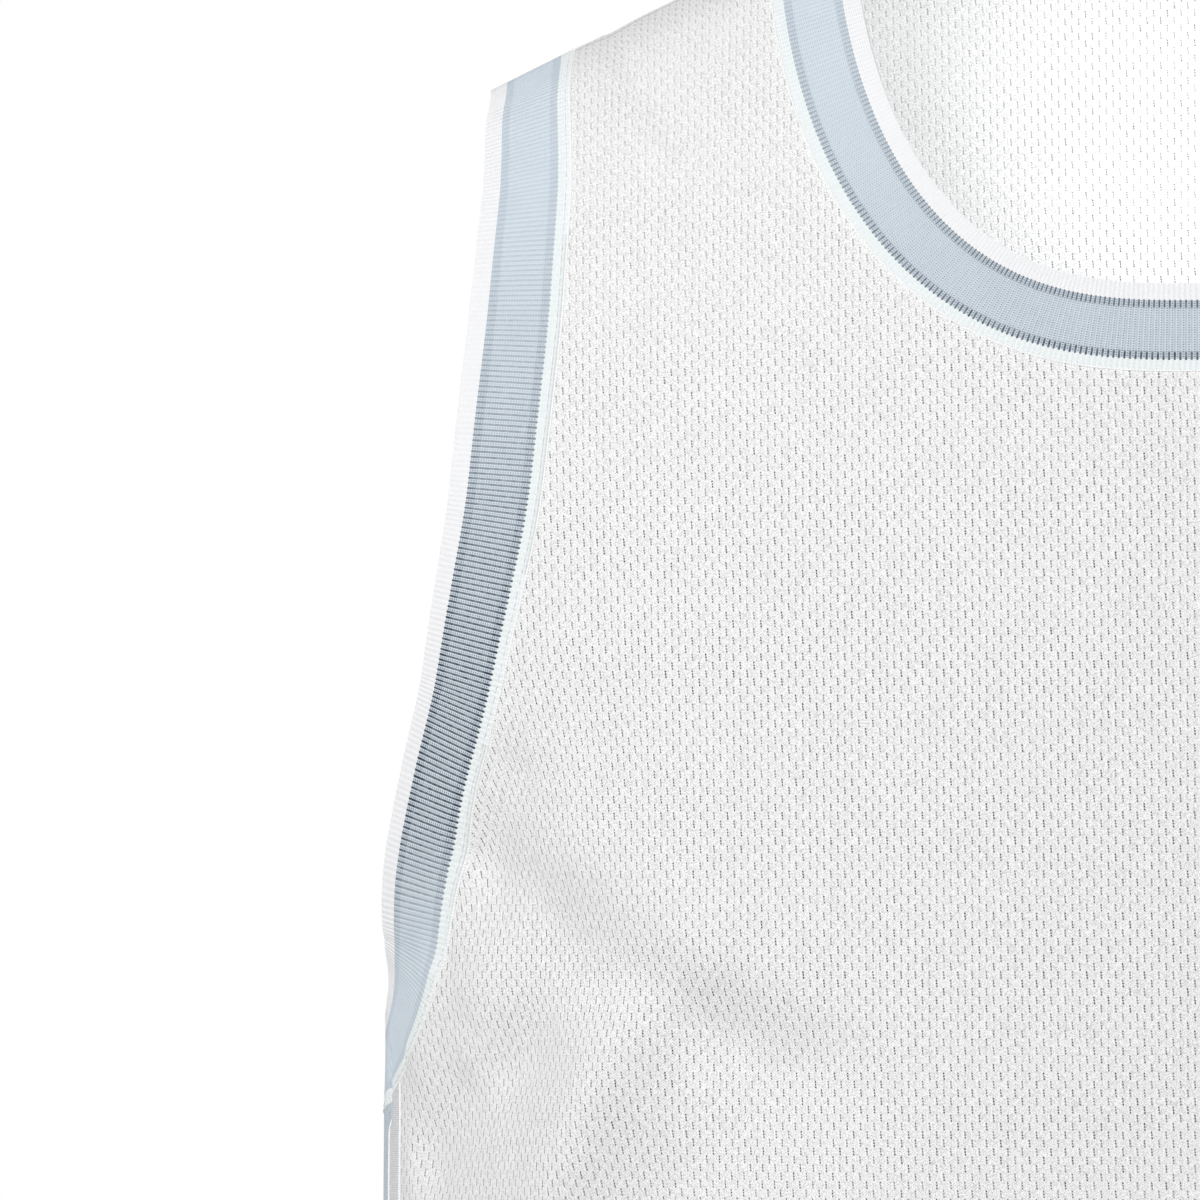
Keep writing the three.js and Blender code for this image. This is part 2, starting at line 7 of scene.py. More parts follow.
import bpy
import numpy as np
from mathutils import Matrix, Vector


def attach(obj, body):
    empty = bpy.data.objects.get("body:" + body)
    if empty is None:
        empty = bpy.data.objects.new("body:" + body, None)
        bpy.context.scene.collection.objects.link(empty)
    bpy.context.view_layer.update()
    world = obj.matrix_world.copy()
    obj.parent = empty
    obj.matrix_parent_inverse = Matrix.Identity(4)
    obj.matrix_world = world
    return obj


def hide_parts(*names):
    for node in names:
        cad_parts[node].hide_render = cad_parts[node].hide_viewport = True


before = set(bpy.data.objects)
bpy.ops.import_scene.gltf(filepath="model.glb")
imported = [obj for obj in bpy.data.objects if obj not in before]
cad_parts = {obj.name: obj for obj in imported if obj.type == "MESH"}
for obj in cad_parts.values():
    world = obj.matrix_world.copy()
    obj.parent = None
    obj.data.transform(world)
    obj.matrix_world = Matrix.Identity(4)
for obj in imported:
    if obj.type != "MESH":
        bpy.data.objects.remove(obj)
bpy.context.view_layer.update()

METRE = 0.001

# Walls and seams
MESH_WALL = 1.2
RIB_WALL = 1.8
HEM_WALL = 2.2
SEAM_GAP = 0.3

# Bands, strips and hem
NECK_RIB_WIDTH = 24.2
ARMHOLE_RIB_WIDTH = 25.3
INSERT_HALF_WIDTH = 23.5
STRIP_WIDTH = 11
HEM_ALLOWANCE = 20
SHOULDER_SEAM_FORWARD = 12

# The body's sections, from the shoulder line to the hem: the height at the middle of a strap, the
# reach to each side, the depth of the front and of the back, and the fall for each millimetre outward.
SECTIONS = np.array(
    [
        (1.1, 232, 0, 0, 0.522),
        (-1.4, 232, 19.5, 19.5, 0.52),
        (-8.2, 234, 37, 38, 0.515),
        (-20, 238, 50, 54, 0.49),
        (-40, 243, 65, 73, 0.45),
        (-70, 248, 81, 92, 0.38),
        (-110, 248, 97, 107, 0.28),
        (-160, 241, 110, 116, 0.17),
        (-215, 227, 118, 119, 0.08),
        (-275, 221.4, 122, 118, 0.02),
        (-330, 221, 123, 115, 0),
        (-400, 220, 121, 111, 0),
        (-480, 217, 118, 107, 0),
        (-565, 216, 117, 106, 0),
        (-655, 219, 117, 109, 0),
        (-747, 223, 118, 113, 0),
    ],
    float,
)
LAST_ROW = len(SECTIONS) - 1
ROUNDNESS = 2.2
STRAP_MIDDLE = 145
NAPE_BEND = 60
HALF_GIRTH = 550

# The neck seam, a rounded oval drawn down the cloth from the shoulder line
NECK_HALF_BREADTH = 117.3
NECK_FRONT_DROP, NECK_FRONT_ROUNDNESS = 163.6, 2.42
NECK_BACK_DROP, NECK_BACK_ROUNDNESS = 64, 1.75

# The armhole seam: the distance down the cloth from the shoulder line, and round the body from the
# side line. It passes under the arm and over the end of the shoulder.
ARMHOLE_TOP = 170
UNDERARM_DROP = 336
ARMHOLE_FRONT = [
    (35, 81.5),
    (75, 102),
    (115, 112.6),
    (159, 113.2),
    (191, 106.3),
    (221, 94.1),
    (250, 77.9),
    (275, 67.8),
    (296, 61.8),
    (311.5, 53),
    (323.5, 40),
    (332.5, 22),
]
ARMHOLE_BACK = [
    (35, 83),
    (75, 104),
    (115, 113),
    (160, 114),
    (219, 96),
    (250, 81),
    (275, 71.5),
    (296, 63),
    (311, 53.5),
    (323, 40),
    (332, 21.5),
]

# The armhole band gapes: beside the chest and the shoulder blade it stands off the body, before and
# behind the underarm it puffs out, and under the arm it leans in a little. Degrees from the surface,
# over lengths down the cloth.
GAPE_FRONT, GAPE_BACK = 17, 13
GAPE_TOP, GAPE_BOTTOM = 20, 255
PUFF_ANGLE, PUFF_MIDDLE, PUFF_REACH = 13, 278, 34
LEAN_ANGLE, LEAN_TOP = 3.5, 300

# Folds: from a place round the body and a height to another, with a half width and a rise. Round the
# body is measured from the centre front, and a trough's rise is below zero.
FOLDS = [
    (-118, -256, -172, -362, 15, 5.5),
    (-185, -222, -100, -291, 15, -5),
    (-88, -260, -134, -366, 25, -6),
    (-146, -270, -214, -322, 12, -3.6),
    (128, -250, 196, -352, 16, 4.5),
    (152, -200, 108, -312, 20, -4),
    (-62, -380, -92, -960, 27, 6),
    (84, -420, 66, -960, 25, 5),
    (12, -480, 2, -960, 30, -5),
    (-196, -360, -178, -960, 29, 5),
    (212, -340, 226, -960, 27, 5.5),
    (-428, -214, -366, -352, 20, 4.5),
    (420, -226, 372, -338, 18, 4),
    (546, -360, 556, -960, 34, -6),
    (462, -400, 450, -960, 28, 6),
    (-470, -370, -484, -960, 30, 5.5),
    (344, -390, 330, -960, 25, -5),
    (-352, -430, -340, -960, 26, 5),
]
FOLD_END = 0.22

# Creases that are finer than the folds, written the same way
CREASES = [
    (-94, -262, -126, -350, 24, -2.2),
    (-121, -260, -156, -336, 7, 2.4),
    (-148, -198, -180, -238, 8, -2.5),
    (-150, -216, -96, -262, 13, 1.6),
    (-152, -240, -186, -272, 10, 2),
    (-148, -264, -174, -296, 8, -1.8),
    (-188, -256, -218, -288, 8, 1.7),
    (-182, -284, -218, -312, 9, -2.2),
    (-132, -4, -98, -42, 5, -1.3),
    (-242, -279, -244, -302, 3.2, -1.8),
    (148, -202, 176, -240, 9, -1.7),
    (124, -260, 152, -338, 9, 2),
    (114, -264, 140, -330, 8, -1.8),
    (184, -258, 214, -298, 9, -1.9),
    (106, -8, 136, -44, 5, -1.2),
    (241, -280, 245, -303, 3.2, -1.6),
    (-410, -230, -374, -304, 10, 2),
    (-424, -262, -392, -334, 9, -1.8),
    (-372, -262, -348, -310, 8, -1.6),
    (402, -226, 368, -296, 9, -1.9),
    (428, -268, 396, -342, 10, 1.8),
    (366, -270, 344, -318, 8, 1.6),
    (-30, -420, -46, -660, 10, 1.5),
    (40, -500, 28, -730, 12, -1.6),
    (-150, -440, -128, -700, 11, 1.6),
    (172, -460, 150, -690, 10, -1.5),
    (500, -450, 514, -700, 11, 1.5),
    (-520, -480, -506, -730, 12, -1.6),
    (-300, -420, -318, -640, 10, 1.4),
    (300, -430, 316, -660, 10, -1.4),
]

# How finely the cloth is divided
LOWER_RUNGS = 108
CENTRE_RUNGS = 30
NECK_RUNGS = 60
UPPER_RUNGS = CENTRE_RUNGS + NECK_RUNGS
HALF_COLUMNS = 56
CENTRE_LIFT = 26
HEM_STEPS = (0, 0.8, 2.2, 6, 10, 14, 17.4, 18.8, 20, 21.2, 23)
EDGE_STEPS = (0, 0.8, 1.8, 3.2)

# Knit: a ridge of the rib, and the divisions of a ridge and of the band
RIB_PITCH = 1.5
RIDGE_DIVISIONS = 4
RIDGE_RISE = 0.12
BAND_COLUMNS = 15

# The mesh: its stitches, and its slits, which stand in columns and step up by half from one column
# to the next. Beside the lower armhole the knit is drawn in towards the middle.
WALE, COURSE = 0.94, 0.72
SLIT_COLUMN, SLIT_PITCH = 1.88, 4.4
SLIT_LEAN = 0.1
DRAWN_IN = 20
DRAWN_TOP, DRAWN_BOTTOM = 205, 290
DRAWN_INNER, DRAWN_OUTER = 140, 220

# The rib's colours, across a band from its seam: white, blue from START to END, white. A band's own
# shares of its width are stretched to them.
BAND_UNITS = 26
BLUE_START, BLUE_END = 3.6, 20.4
NECK_BLUE, ARM_BLUE = (0.137, 0.797), (0.149, 0.801)
TOOTH = 0.38
MARGIN = 2.8
LOOP_LENGTH = 0.7

# Sewing: the raised line of a seam, and the stitches
WELT_HALF_WIDTH, WELT_RISE = 0.3, 0.32
WELT_STEP = 2.5
STITCH_LENGTH, STITCH_GAP = 2.3, 0.9
STITCH_RADIUS = 0.17
STITCH_PROFILE = ((0, 0, 0.5), (0.12, 0.7, 0.9), (0.5, 1, 1), (0.88, 0.7, 0.9), (1, 0, 0.5))
SHOULDER_STEPS = 40
SHOULDER_RISE = 0.05
HEM_STITCH_ROWS = (15.5, 18.2)
BAND_STITCH_SHIFT = 1.5
HEM_STITCH_POINTS = 721
ARM_STITCH_POINTS = 600

# Steps of the numeric measuring
TURN_STEP = 0.5
ROW_STEP = 0.02
ARM_LOOP_STEP = 0.02
NECK_LOOP_STEP = 0.002
MARCH_STEP = 3
LOOP_PIECES = 1200
ARC_PIECES = 48
ROW_WEIGHT = 10
TINY = 1e-9
SIDE_TURNS = 361
FINE_PLACES = 401

# How finely seams and knit are divided, and the angle below which an edge is smooth
WELT_SHARES = 7
WELT_LIFT, WELT_ROOT = 0.02, 0.25
STITCH_SIDES = 6
INSERT_COLUMNS, STRIP_COLUMNS = 8, 5
SMOOTH_CLOTH, SMOOTH_KNIT = 50, 80

# The mesh's slits are painted dark, as shade seen into the gaps. Each fades at its ends and edges,
# threads cross it, and chance closes some of it. Towards the shoulders painted light washes the
# slits' shade out, from the top height down, and most of it far outward.
SLIT_ENDS, SLIT_EDGES = (1.25, 1.0), (0.25, 0.08)
CROSSING_SHADE, CROSSING_LEVEL = 0.42, 0.58
CHANCE_REACH, CHANCE_LEVEL = 0.8, 0.75
PAINTED_LIGHT_HEIGHTS, PAINTED_LIGHT_BREADTHS = (-170.0, -20.0), (20.0, 150.0)
PAINTED_LIGHT_INWARD, PAINTED_LIGHT_OUTWARD = 0.3, 0.4
LIP_SHIFT, LIP_EDGES = 0.5, (0.42, 0.05)

# Shares of the loops, grain, patches and lips in the mesh's tone and relief
LOOP_TONE, GRAIN_TONE, PATCH_TONE, LIP_TONE, TONE_SHIFT = 0.22, 3.2, 0.12, 0.35, 1.3
LOOP_RELIEF, LIP_RELIEF = 0.25, 0.5
GRAIN_SIZE, PATCH_SIZE = 0.42, 22.0
MESH_RELIEF = 0.14

# The rib's dark lines are painted shade in its hollows, between the ridges and between the loops. They
# show where a band is drawn tight: they set in down the chest and end before the underarm. Inward of a
# breadth the band is the neck's, whose heights count as lower.
TIGHT_START, TIGHT_END, TIGHT_LEAST = (-30.0, -195.0), (-266.0, -212.0), 0.1
NECK_BREADTHS, NECK_LOWER = (165.0, 140.0), 70
TOOTH_EDGES, LINE_EDGES = (0.3, -0.9), (0.0, -0.65)
BLUE_EDGE, MARGIN_EDGE = 0.1, 0.9
NECK_MIDDLE_LOSS, NECK_MARGIN_GAIN = 0.7, 0.6
DOT_EDGES_ACROSS, DOT_EDGES_ALONG, DOT_SHARE = (0.2, 0.85), (-0.5, 0.3), 0.75
LINE_LEVEL, LINE_MARGIN = 0.9, 0.15
# The strength of the painted shade lines varies with fine noise
LINE_NOISE_SIZE, LINE_NOISE_REACH, LINE_NOISE_LEVEL = 1.1, 0.7, 0.6
# The share of painted shade along the blue's edges, where the pillowed band rounds off, and the size of
# the band's patches
MARGIN_SHADE_SHARE, BAND_PATCH = 0.22, 9.0
COOL_TO_PLAIN = (2.0, 22.0)
FAINT_LINE, FAINT_LOOP, FAINT_PATCH = 0.1, 0.06, 0.1
RIB_LOOP_RELIEF, RIB_LINE_RELIEF, RIB_DOT_RELIEF, RIB_RELIEF = 0.3, 0.4, 0.25, 0.1

# Close knit and thread
KNIT_FINENESS = 0.8
KNIT_STITCH, KNIT_GRAIN, KNIT_PATCH, KNIT_SHIFT = 0.2, 0.6, 0.4, 0.1
KNIT_GRAIN_SIZE, KNIT_PATCH_SIZE, KNIT_RELIEF = 0.7, 18.0, 0.12
TWIST_LENGTH, TWIST_TONE, TWIST_GRAIN, TWIST_GRAIN_SIZE, TWIST_RELIEF = 0.8, 0.3, 0.6, 0.9, 0.05

# Colours
WHITE_PLAIN = (0.83, 0.83, 0.845)
WHITE_COOL = (0.78, 0.825, 0.83)
WHITE_SHADE = (0.6, 0.62, 0.63)
MESH_LIGHT = (0.87, 0.87, 0.87)
MESH_DARK = (0.58, 0.58, 0.58)
# Painted shade seen into the slits of the white mesh
MESH_SLIT_SHADE = (0.02, 0.02, 0.02)
BLUE_PALE = (0.63, 0.7, 0.76)
BLUE_LIGHT = (0.58, 0.65, 0.72)
# Painted shade along the edges of the blue, where the pillowed band rounds off
BLUE_MARGIN_SHADE = (0.33, 0.39, 0.46)
# Painted shade in the hollows of the blue rib
BLUE_HOLLOW_SHADE = (0.025, 0.037, 0.058)
BLUE_KNIT_DARK = (0.42, 0.49, 0.55)
# Painted shade seen into the slits of the blue mesh
BLUE_SLIT_SHADE = (0.16, 0.2, 0.24)
THREAD_LIGHT, THREAD_DARK = (0.93, 0.93, 0.93), (0.8, 0.8, 0.8)
GREY_LIGHT, GREY_DARK = (0.5, 0.5, 0.5), (0.36, 0.36, 0.36)

# Floor, camera and studio, in metres. The room is white round the horizon and dimmer overhead, from
# one share of the way up to the next. A light has a place, an aim, a size and a power in watts.
FLOOR_HEIGHT, FLOOR_REACH = -1.3, 6
FLOOR_LIGHT, FLOOR_DARK = (0.96, 0.96, 0.96), (0.93, 0.93, 0.93)
FLOOR_PATCH, FLOOR_GRAIN, FLOOR_RELIEF = 400.0, 3.0, 0.1
CAMERA_PLACE, CAMERA_AIM = Vector((0, -4, -0.25)), Vector((-0.16335, 0, -0.1593))
CAMERA_LENS, CAMERA_SENSOR, CAMERA_REACH = 445, 36, 100
OVERHEAD, OVERHEAD_FROM_TO = 0.28, (0.08, 0.3)
LIGHTS = [
    ("key", (-1.15, -2.55, 1.85), (-0.1, 0, -0.2), 1.1, 77),
    ("back_fill", (1.3, 2.9, 1.5), (0, 0, -0.35), 1.4, 72),
    ("neck_fill", (0, -0.05, -0.07), (0, 0.11, -0.05), 0.1, 0.2),
]


# Curves


def catmull_rom(before, start, end, after, share):
    linear = (end - before) * share
    square = (2 * before - 5 * start + 4 * end - after) * share**2
    cube = (3 * start - before - 3 * end + after) * share**3
    return 0.5 * (2 * start + linear + square + cube)


def smooth_step(share):
    held = np.clip(share, 0, 1)
    return held * held * (3 - 2 * held)


def dot(a, b):
    return np.sum(a * b, axis=-1)


def unit(vectors):
    return vectors / np.linalg.norm(vectors, axis=-1, keepdims=True)


def running_length(points):
    steps = np.linalg.norm(np.diff(points, axis=0), axis=-1)
    return np.concatenate([[0], np.cumsum(steps)])


# The body's surface. A station on it is a turn in degrees round the body, 0 at the left side line and
# 90 at the centre front, and a row, a place in SECTIONS. A row below zero lies over the shoulder line
# on the other face, and is the same station as the one at minus its turn and minus its row.


def section_at(row):
    above = SECTIONS[1] * (1, 1, -1, -1, 1)
    below = 2 * SECTIONS[-1] - SECTIONS[-2]
    rows = np.vstack([above, SECTIONS, below])
    index = np.clip(np.floor(row).astype(int), 0, LAST_ROW - 1)
    share = (row - index)[..., None]
    section = catmull_rom(*(rows[index + step] for step in range(4)), share)
    return np.moveaxis(section, -1, 0)


def shoulder_fall(across):
    return np.hypot(across, NAPE_BEND) - NAPE_BEND


def body_point(turn, row):
    face = np.where(row < 0, -1.0, 1.0)
    level, half_width, front, back, slope = section_at(row * face)
    cosine, sine = np.cos(np.radians(turn * face)), np.sin(np.radians(turn * face))
    size = (np.abs(cosine) ** ROUNDNESS + np.abs(sine) ** ROUNDNESS) ** (-1 / ROUNDNESS)
    across = half_width * cosine * size
    depth = np.where(sine > 0, -front, back) * np.abs(sine) * size
    height = level + slope * (shoulder_fall(STRAP_MIDDLE) - shoulder_fall(across))
    return np.stack([across, depth, height], axis=-1)


def directions(turn, row):
    along_turn = body_point(turn + TURN_STEP, row) - body_point(turn - TURN_STEP, row)
    along_row = body_point(turn, row + ROW_STEP) - body_point(turn, row - ROW_STEP)
    return along_turn / (2 * TURN_STEP), along_row / (2 * ROW_STEP)


def outward(turn, row):
    return unit(np.cross(*directions(turn, row)))


def turn_at_breadth(breadth, row):
    reach = np.maximum(section_at(row)[1] / np.maximum(np.abs(breadth), TINY), 1)
    return np.degrees(np.arctan((reach**ROUNDNESS - 1) ** (1 / ROUNDNESS)))


DOWN_ROWS = np.linspace(0, LAST_ROW, LAST_ROW * 40 + 1)
DOWN = running_length(body_point(turn_at_breadth(STRAP_MIDDLE, DOWN_ROWS), DOWN_ROWS))
WHOLE_DROP = DOWN[-1]


def row_at_down(down):
    return np.interp(down, DOWN, DOWN_ROWS)


def down_at_row(row):
    return np.sign(row) * np.interp(np.abs(row), DOWN_ROWS, DOWN)


def arc_length(turn_from, turn_to, row, flat=False):
    """The length round a section between two turns; flat leaves out its rise and fall."""
    shares = np.linspace(0, 1, ARC_PIECES + 1)
    turns = turn_from[..., None] + (turn_to - turn_from)[..., None] * shares
    points = body_point(turns, np.broadcast_to(row[..., None], turns.shape))
    used = points[..., :2] if flat else points
    return np.linalg.norm(np.diff(used, axis=-2), axis=-1).sum(axis=-1)


def turn_from_side(distance, row):
    """The turn at a distance from the left side line, towards the back if it is below zero."""
    turns = np.linspace(0, 90, SIDE_TURNS) * np.sign(distance)
    found = []
    for one_row in row:
        run = running_length(body_point(turns, np.full_like(turns, one_row)))
        found.append(np.interp(abs(distance), run, turns))
    return np.array(found)


def fold_rise(turn, row, height):
    around = HALF_GIRTH * (90 - turn * np.where(row < 0, -1, 1)) / 180
    total = np.zeros_like(height)
    for start, top, end, bottom, width, rise in FOLDS + CREASES:
        run_around, run_height = end - start, bottom - top
        length = math.hypot(run_around, run_height)
        offset = around - start
        offset -= 2 * HALF_GIRTH * np.round(offset / (2 * HALF_GIRTH))
        climb = height - top
        share = (offset * run_around + climb * run_height) / length**2
        aside = (offset * run_height - climb * run_around) / length
        ends = smooth_step(share / FOLD_END) * smooth_step((1 - share) / FOLD_END)
        total += rise * ends * np.exp(-((aside / width) ** 2))
    return total


def cloth_at(turn, row, lift=0):
    """The middle of the cloth, with its folds and a lift, and the way out of it."""
    point = body_point(turn, row)
    way_out = outward(turn, row)
    rise = fold_rise(turn, row, point[..., 2]) + lift
    return point + way_out * rise[..., None], way_out


# Seam lines: functions from places on a closed loop to stations


def neck_loop(place):
    angle = 2 * np.pi * place
    front = np.sin(angle) > 0
    drop = np.where(front, NECK_FRONT_DROP, NECK_BACK_DROP)
    power = 2 / np.where(front, NECK_FRONT_ROUNDNESS, NECK_BACK_ROUNDNESS)
    row = row_at_down(drop * np.abs(np.sin(angle)) ** power)
    breadth = NECK_HALF_BREADTH * np.abs(np.cos(angle)) ** power
    turn = turn_at_breadth(breadth, row) * np.where(front, 1, -1)
    return np.where(np.cos(angle) < 0, 180 - turn, turn), row


def guides(table, sign):
    rows = row_at_down(np.array([down for down, _ in table], float))
    turns = [turn_from_side(sign * side, [row])[0] for (_, side), row in zip(table, rows)]
    return list(zip(turns, rows))


def nearer_form(station, reference):
    """The form of a station that is nearer to another, so that a curve runs on over the shoulder."""
    station = np.array(station, float)
    weights = np.array([1, ROW_WEIGHT])
    apart = [np.sum(weights * np.abs(form - reference)) for form in (station, -station)]
    return station if apart[0] <= apart[1] else -station


UNDERARM = (0.0, row_at_down(UNDERARM_DROP))
SHOULDER_TIP = (float(turn_at_breadth(ARMHOLE_TOP, np.array(0.0))), 0.0)
FRONT_GUIDES = guides(ARMHOLE_FRONT, 1)[::-1]
ARMHOLE_GUIDES = [UNDERARM, *FRONT_GUIDES, SHOULDER_TIP, *guides(ARMHOLE_BACK, -1)]
GUIDE_COUNT = len(ARMHOLE_GUIDES)
TIP_PLACE = len(FRONT_GUIDES) + 1
ARMHOLE_NEAR = np.array(
    [
        [
            nearer_form(ARMHOLE_GUIDES[(index + step) % GUIDE_COUNT], ARMHOLE_GUIDES[index])
            for step in (-1, 0, 1, 2)
        ]
        for index in range(GUIDE_COUNT)
    ]
)


def armhole_loop(place):
    index = np.floor(place).astype(int)
    near = ARMHOLE_NEAR[index % GUIDE_COUNT]
    share = (place - index)[..., None]
    station = catmull_rom(*(near[..., step, :] for step in range(4)), share)
    return station[..., 0], station[..., 1]


def walked(turn, row, heading, distance):
    """The stations reached by walking over the surface, as straight as the cloth allows."""
    steps = max(math.ceil(np.max(np.abs(distance)) / MARCH_STEP), 1)
    stride = distance / steps
    for _ in range(steps):
        along_turn, along_row = directions(turn, row)
        normal = unit(np.cross(along_turn, along_row))
        heading = unit(heading - dot(heading, normal)[..., None] * normal)
        turn_turn, row_row = dot(along_turn, along_turn), dot(along_row, along_row)
        turn_row = dot(along_turn, along_row)
        by_turn, by_row = dot(along_turn, heading) * stride, dot(along_row, heading) * stride
        size = turn_turn * row_row - turn_row**2
        turn = turn + (by_turn * row_row - by_row * turn_row) / size
        row = row + (turn_turn * by_row - turn_row * by_turn) / size
    return turn, row


def beside_seam(loop, places, step, shift):
    """The stations beside a seam line, moved by shift towards the opening that it goes round."""
    turn, row = loop(places)
    ahead = body_point(*loop(places + step))
    behind = body_point(*loop(places - step))
    heading = unit(np.cross(outward(turn, row), behind - ahead))
    return walked(turn, row, heading, shift)


def neck_station(places, shift):
    return beside_seam(neck_loop, places, NECK_LOOP_STEP, shift)


def arm_station(places, shift):
    return beside_seam(armhole_loop, places, ARM_LOOP_STEP, shift)


def band_angle(turn, row):
    down = np.maximum(down_at_row(row), 0)
    gape = np.clip((down - GAPE_TOP) / (GAPE_BOTTOM - GAPE_TOP), 0, 1)
    lean = smooth_step((down - LEAN_TOP) / (UNDERARM_DROP - LEAN_TOP))
    most = np.where(turn > 0, GAPE_FRONT, GAPE_BACK)
    puff = PUFF_ANGLE * np.exp(-(((down - PUFF_MIDDLE) / PUFF_REACH) ** 2))
    return np.radians(most * np.sin(np.pi * gape) ** 2 + puff - LEAN_ANGLE * lean)


def flat_angle(turn, row):
    return np.zeros_like(turn)


def even_places(loop, start, end, count):
    fine = np.linspace(start, end, LOOP_PIECES + 1)
    run = running_length(body_point(*loop(fine)))
    return np.interp(np.linspace(0, run[-1], count + 1), run, fine)


def loop_length(loop, start, end):
    return running_length(body_point(*loop(np.linspace(start, end, LOOP_PIECES + 1))))[-1]


def arm_place_from_side(distance):
    fine = np.linspace(0, 2, FINE_PLACES) * np.sign(distance)
    turn, row = armhole_loop(fine)
    reach = arc_length(np.zeros_like(turn), turn, row)
    return float(np.interp(abs(distance), reach, fine))


def shoulder_places(shift):
    """Where the shoulder seam, moved down the front by shift, meets the neck and armhole seams."""
    down = SHOULDER_SEAM_FORWARD + shift
    neck = np.linspace(0, 0.25, FINE_PLACES)
    arm = np.linspace(TIP_PLACE, TIP_PLACE - 1, FINE_PLACES)
    neck_place = np.interp(down, down_at_row(neck_loop(neck)[1]), neck)
    arm_place = np.interp(down, down_at_row(armhole_loop(arm)[1]), arm)
    return float(neck_place), float(arm_place)


# Shells


def cloth_coordinates(turn, row):
    """Millimetres on the flat cut: across from the centre line, and down from the shoulder."""
    upright = turn * np.where(row < 0, -1, 1)
    centre = np.where(turn % 360 > 180, 270.0, 90.0)
    start = np.where(turn < 0, -90.0, centre)
    across = arc_length(start, turn, row, flat=True)
    side = np.where(np.cos(np.radians(upright)) < 0, -1, 1)
    slope = section_at(np.abs(row))[4]
    breadth = body_point(turn, row)[..., 0]
    fall = slope * (shoulder_fall(breadth) - shoulder_fall(STRAP_MIDDLE))
    return np.stack([across * side, down_at_row(row) + fall], axis=-1)


def drawn_in(flat):
    """The same coordinates with the knit drawn in beside the lower armholes."""
    across, down = flat.T
    drawn = smooth_step((down - DRAWN_TOP) / (DRAWN_BOTTOM - DRAWN_TOP))
    shift = DRAWN_IN * drawn * smooth_step((np.abs(across) - DRAWN_INNER) / (DRAWN_OUTER - DRAWN_INNER))
    return np.stack([across + np.sign(across) * shift, down], axis=-1)


def flat_cut(flat, indexes):
    """The width, length and area of a flat cut, in metres and square metres."""
    area = 0
    for index in indexes:
        ways = flat[index[1:, 1:]] - flat[index[:-1, :-1]], flat[index[1:, :-1]] - flat[index[:-1, 1:]]
        area += np.abs(ways[0][..., 0] * ways[1][..., 1] - ways[0][..., 1] * ways[1][..., 0]).sum() / 2
    width, length = np.ptp(flat, axis=0) * METRE
    return float(width), float(length), float(area) * METRE**2


def new_object(name, points, faces, loop_uvs, material, smooth_below):
    mesh = bpy.data.meshes.new(name)
    mesh.from_pydata((points * METRE).tolist(), [], faces.tolist())
    layer = mesh.uv_layers.new(name="cloth")
    layer.data.foreach_set("uv", loop_uvs.astype(np.float32).ravel())
    mesh.shade_smooth()
    mesh.set_sharp_from_angle(angle=math.radians(smooth_below))
    mesh.materials.append(material)
    piece = bpy.data.objects.new(name, mesh)
    bpy.context.scene.collection.objects.link(piece)
    return piece


def grid_faces(index):
    """Quads that face outward, for a grid of rungs from low to high, in the order of turn."""
    corners = index[:-1, :-1], index[1:, :-1], index[1:, 1:], index[:-1, 1:]
    return np.stack(corners, axis=-1).reshape(-1, 4)


def open_edges(faces):
    """The edges of one face only, each in that face's direction."""
    edges = np.concatenate([faces[:, [side, (side + 1) % 4]] for side in range(4)])
    count = int(faces.max()) + 1
    keys = edges[:, 0].astype(np.int64) * count + edges[:, 1]
    back_keys = edges[:, 1].astype(np.int64) * count + edges[:, 0]
    return edges[~np.isin(keys, back_keys)]


def shell(name, stations, offsets, grids, material, smooth_below=SMOOTH_CLOTH):
    """A closed wall. stations and offsets, outer then inner, belong to its points. Each grid is an
    index into them with the cloth coordinates of its corners."""
    middle, way_out = cloth_at(*stations)
    outer, inner = (middle + way_out * offset[:, None] for offset in offsets)
    count = len(middle)
    faces = np.concatenate([grid_faces(index) for index, _ in grids])
    corner_uvs = []
    point_uvs = np.zeros((count, 2))
    for index, uvs in grids:
        corners = uvs[:-1, :-1], uvs[1:, :-1], uvs[1:, 1:], uvs[:-1, 1:]
        corner_uvs.append(np.stack(corners, axis=-2).reshape(-1, 4, 2))
        point_uvs[index] = uvs
    face_uvs = np.concatenate(corner_uvs)
    start, end = open_edges(faces).T
    rims = np.stack([end, start, start + count, end + count], axis=-1)
    rim_uvs = point_uvs[np.stack([end, start, start, end], axis=-1)]
    all_faces = np.concatenate([faces, faces[:, ::-1] + count, rims])
    all_uvs = np.concatenate([face_uvs, face_uvs[:, ::-1], rim_uvs])
    points = np.concatenate([outer, inner])
    return new_object(name, points, all_faces, all_uvs, material, smooth_below)


# The panels


def rung_rows(top_row):
    """Rows from the hem up to a top row: the hem's own steps first, then even ones."""
    steps = WHOLE_DROP - np.array(HEM_STEPS)
    even = np.linspace(steps[-1], down_at_row(top_row), LOWER_RUNGS + 1)
    return row_at_down(np.concatenate([steps, even[1:]]))


def on_face(turn, row, face):
    sign = np.where(turn * face > 0, 1, -1)
    return turn * sign, row * sign


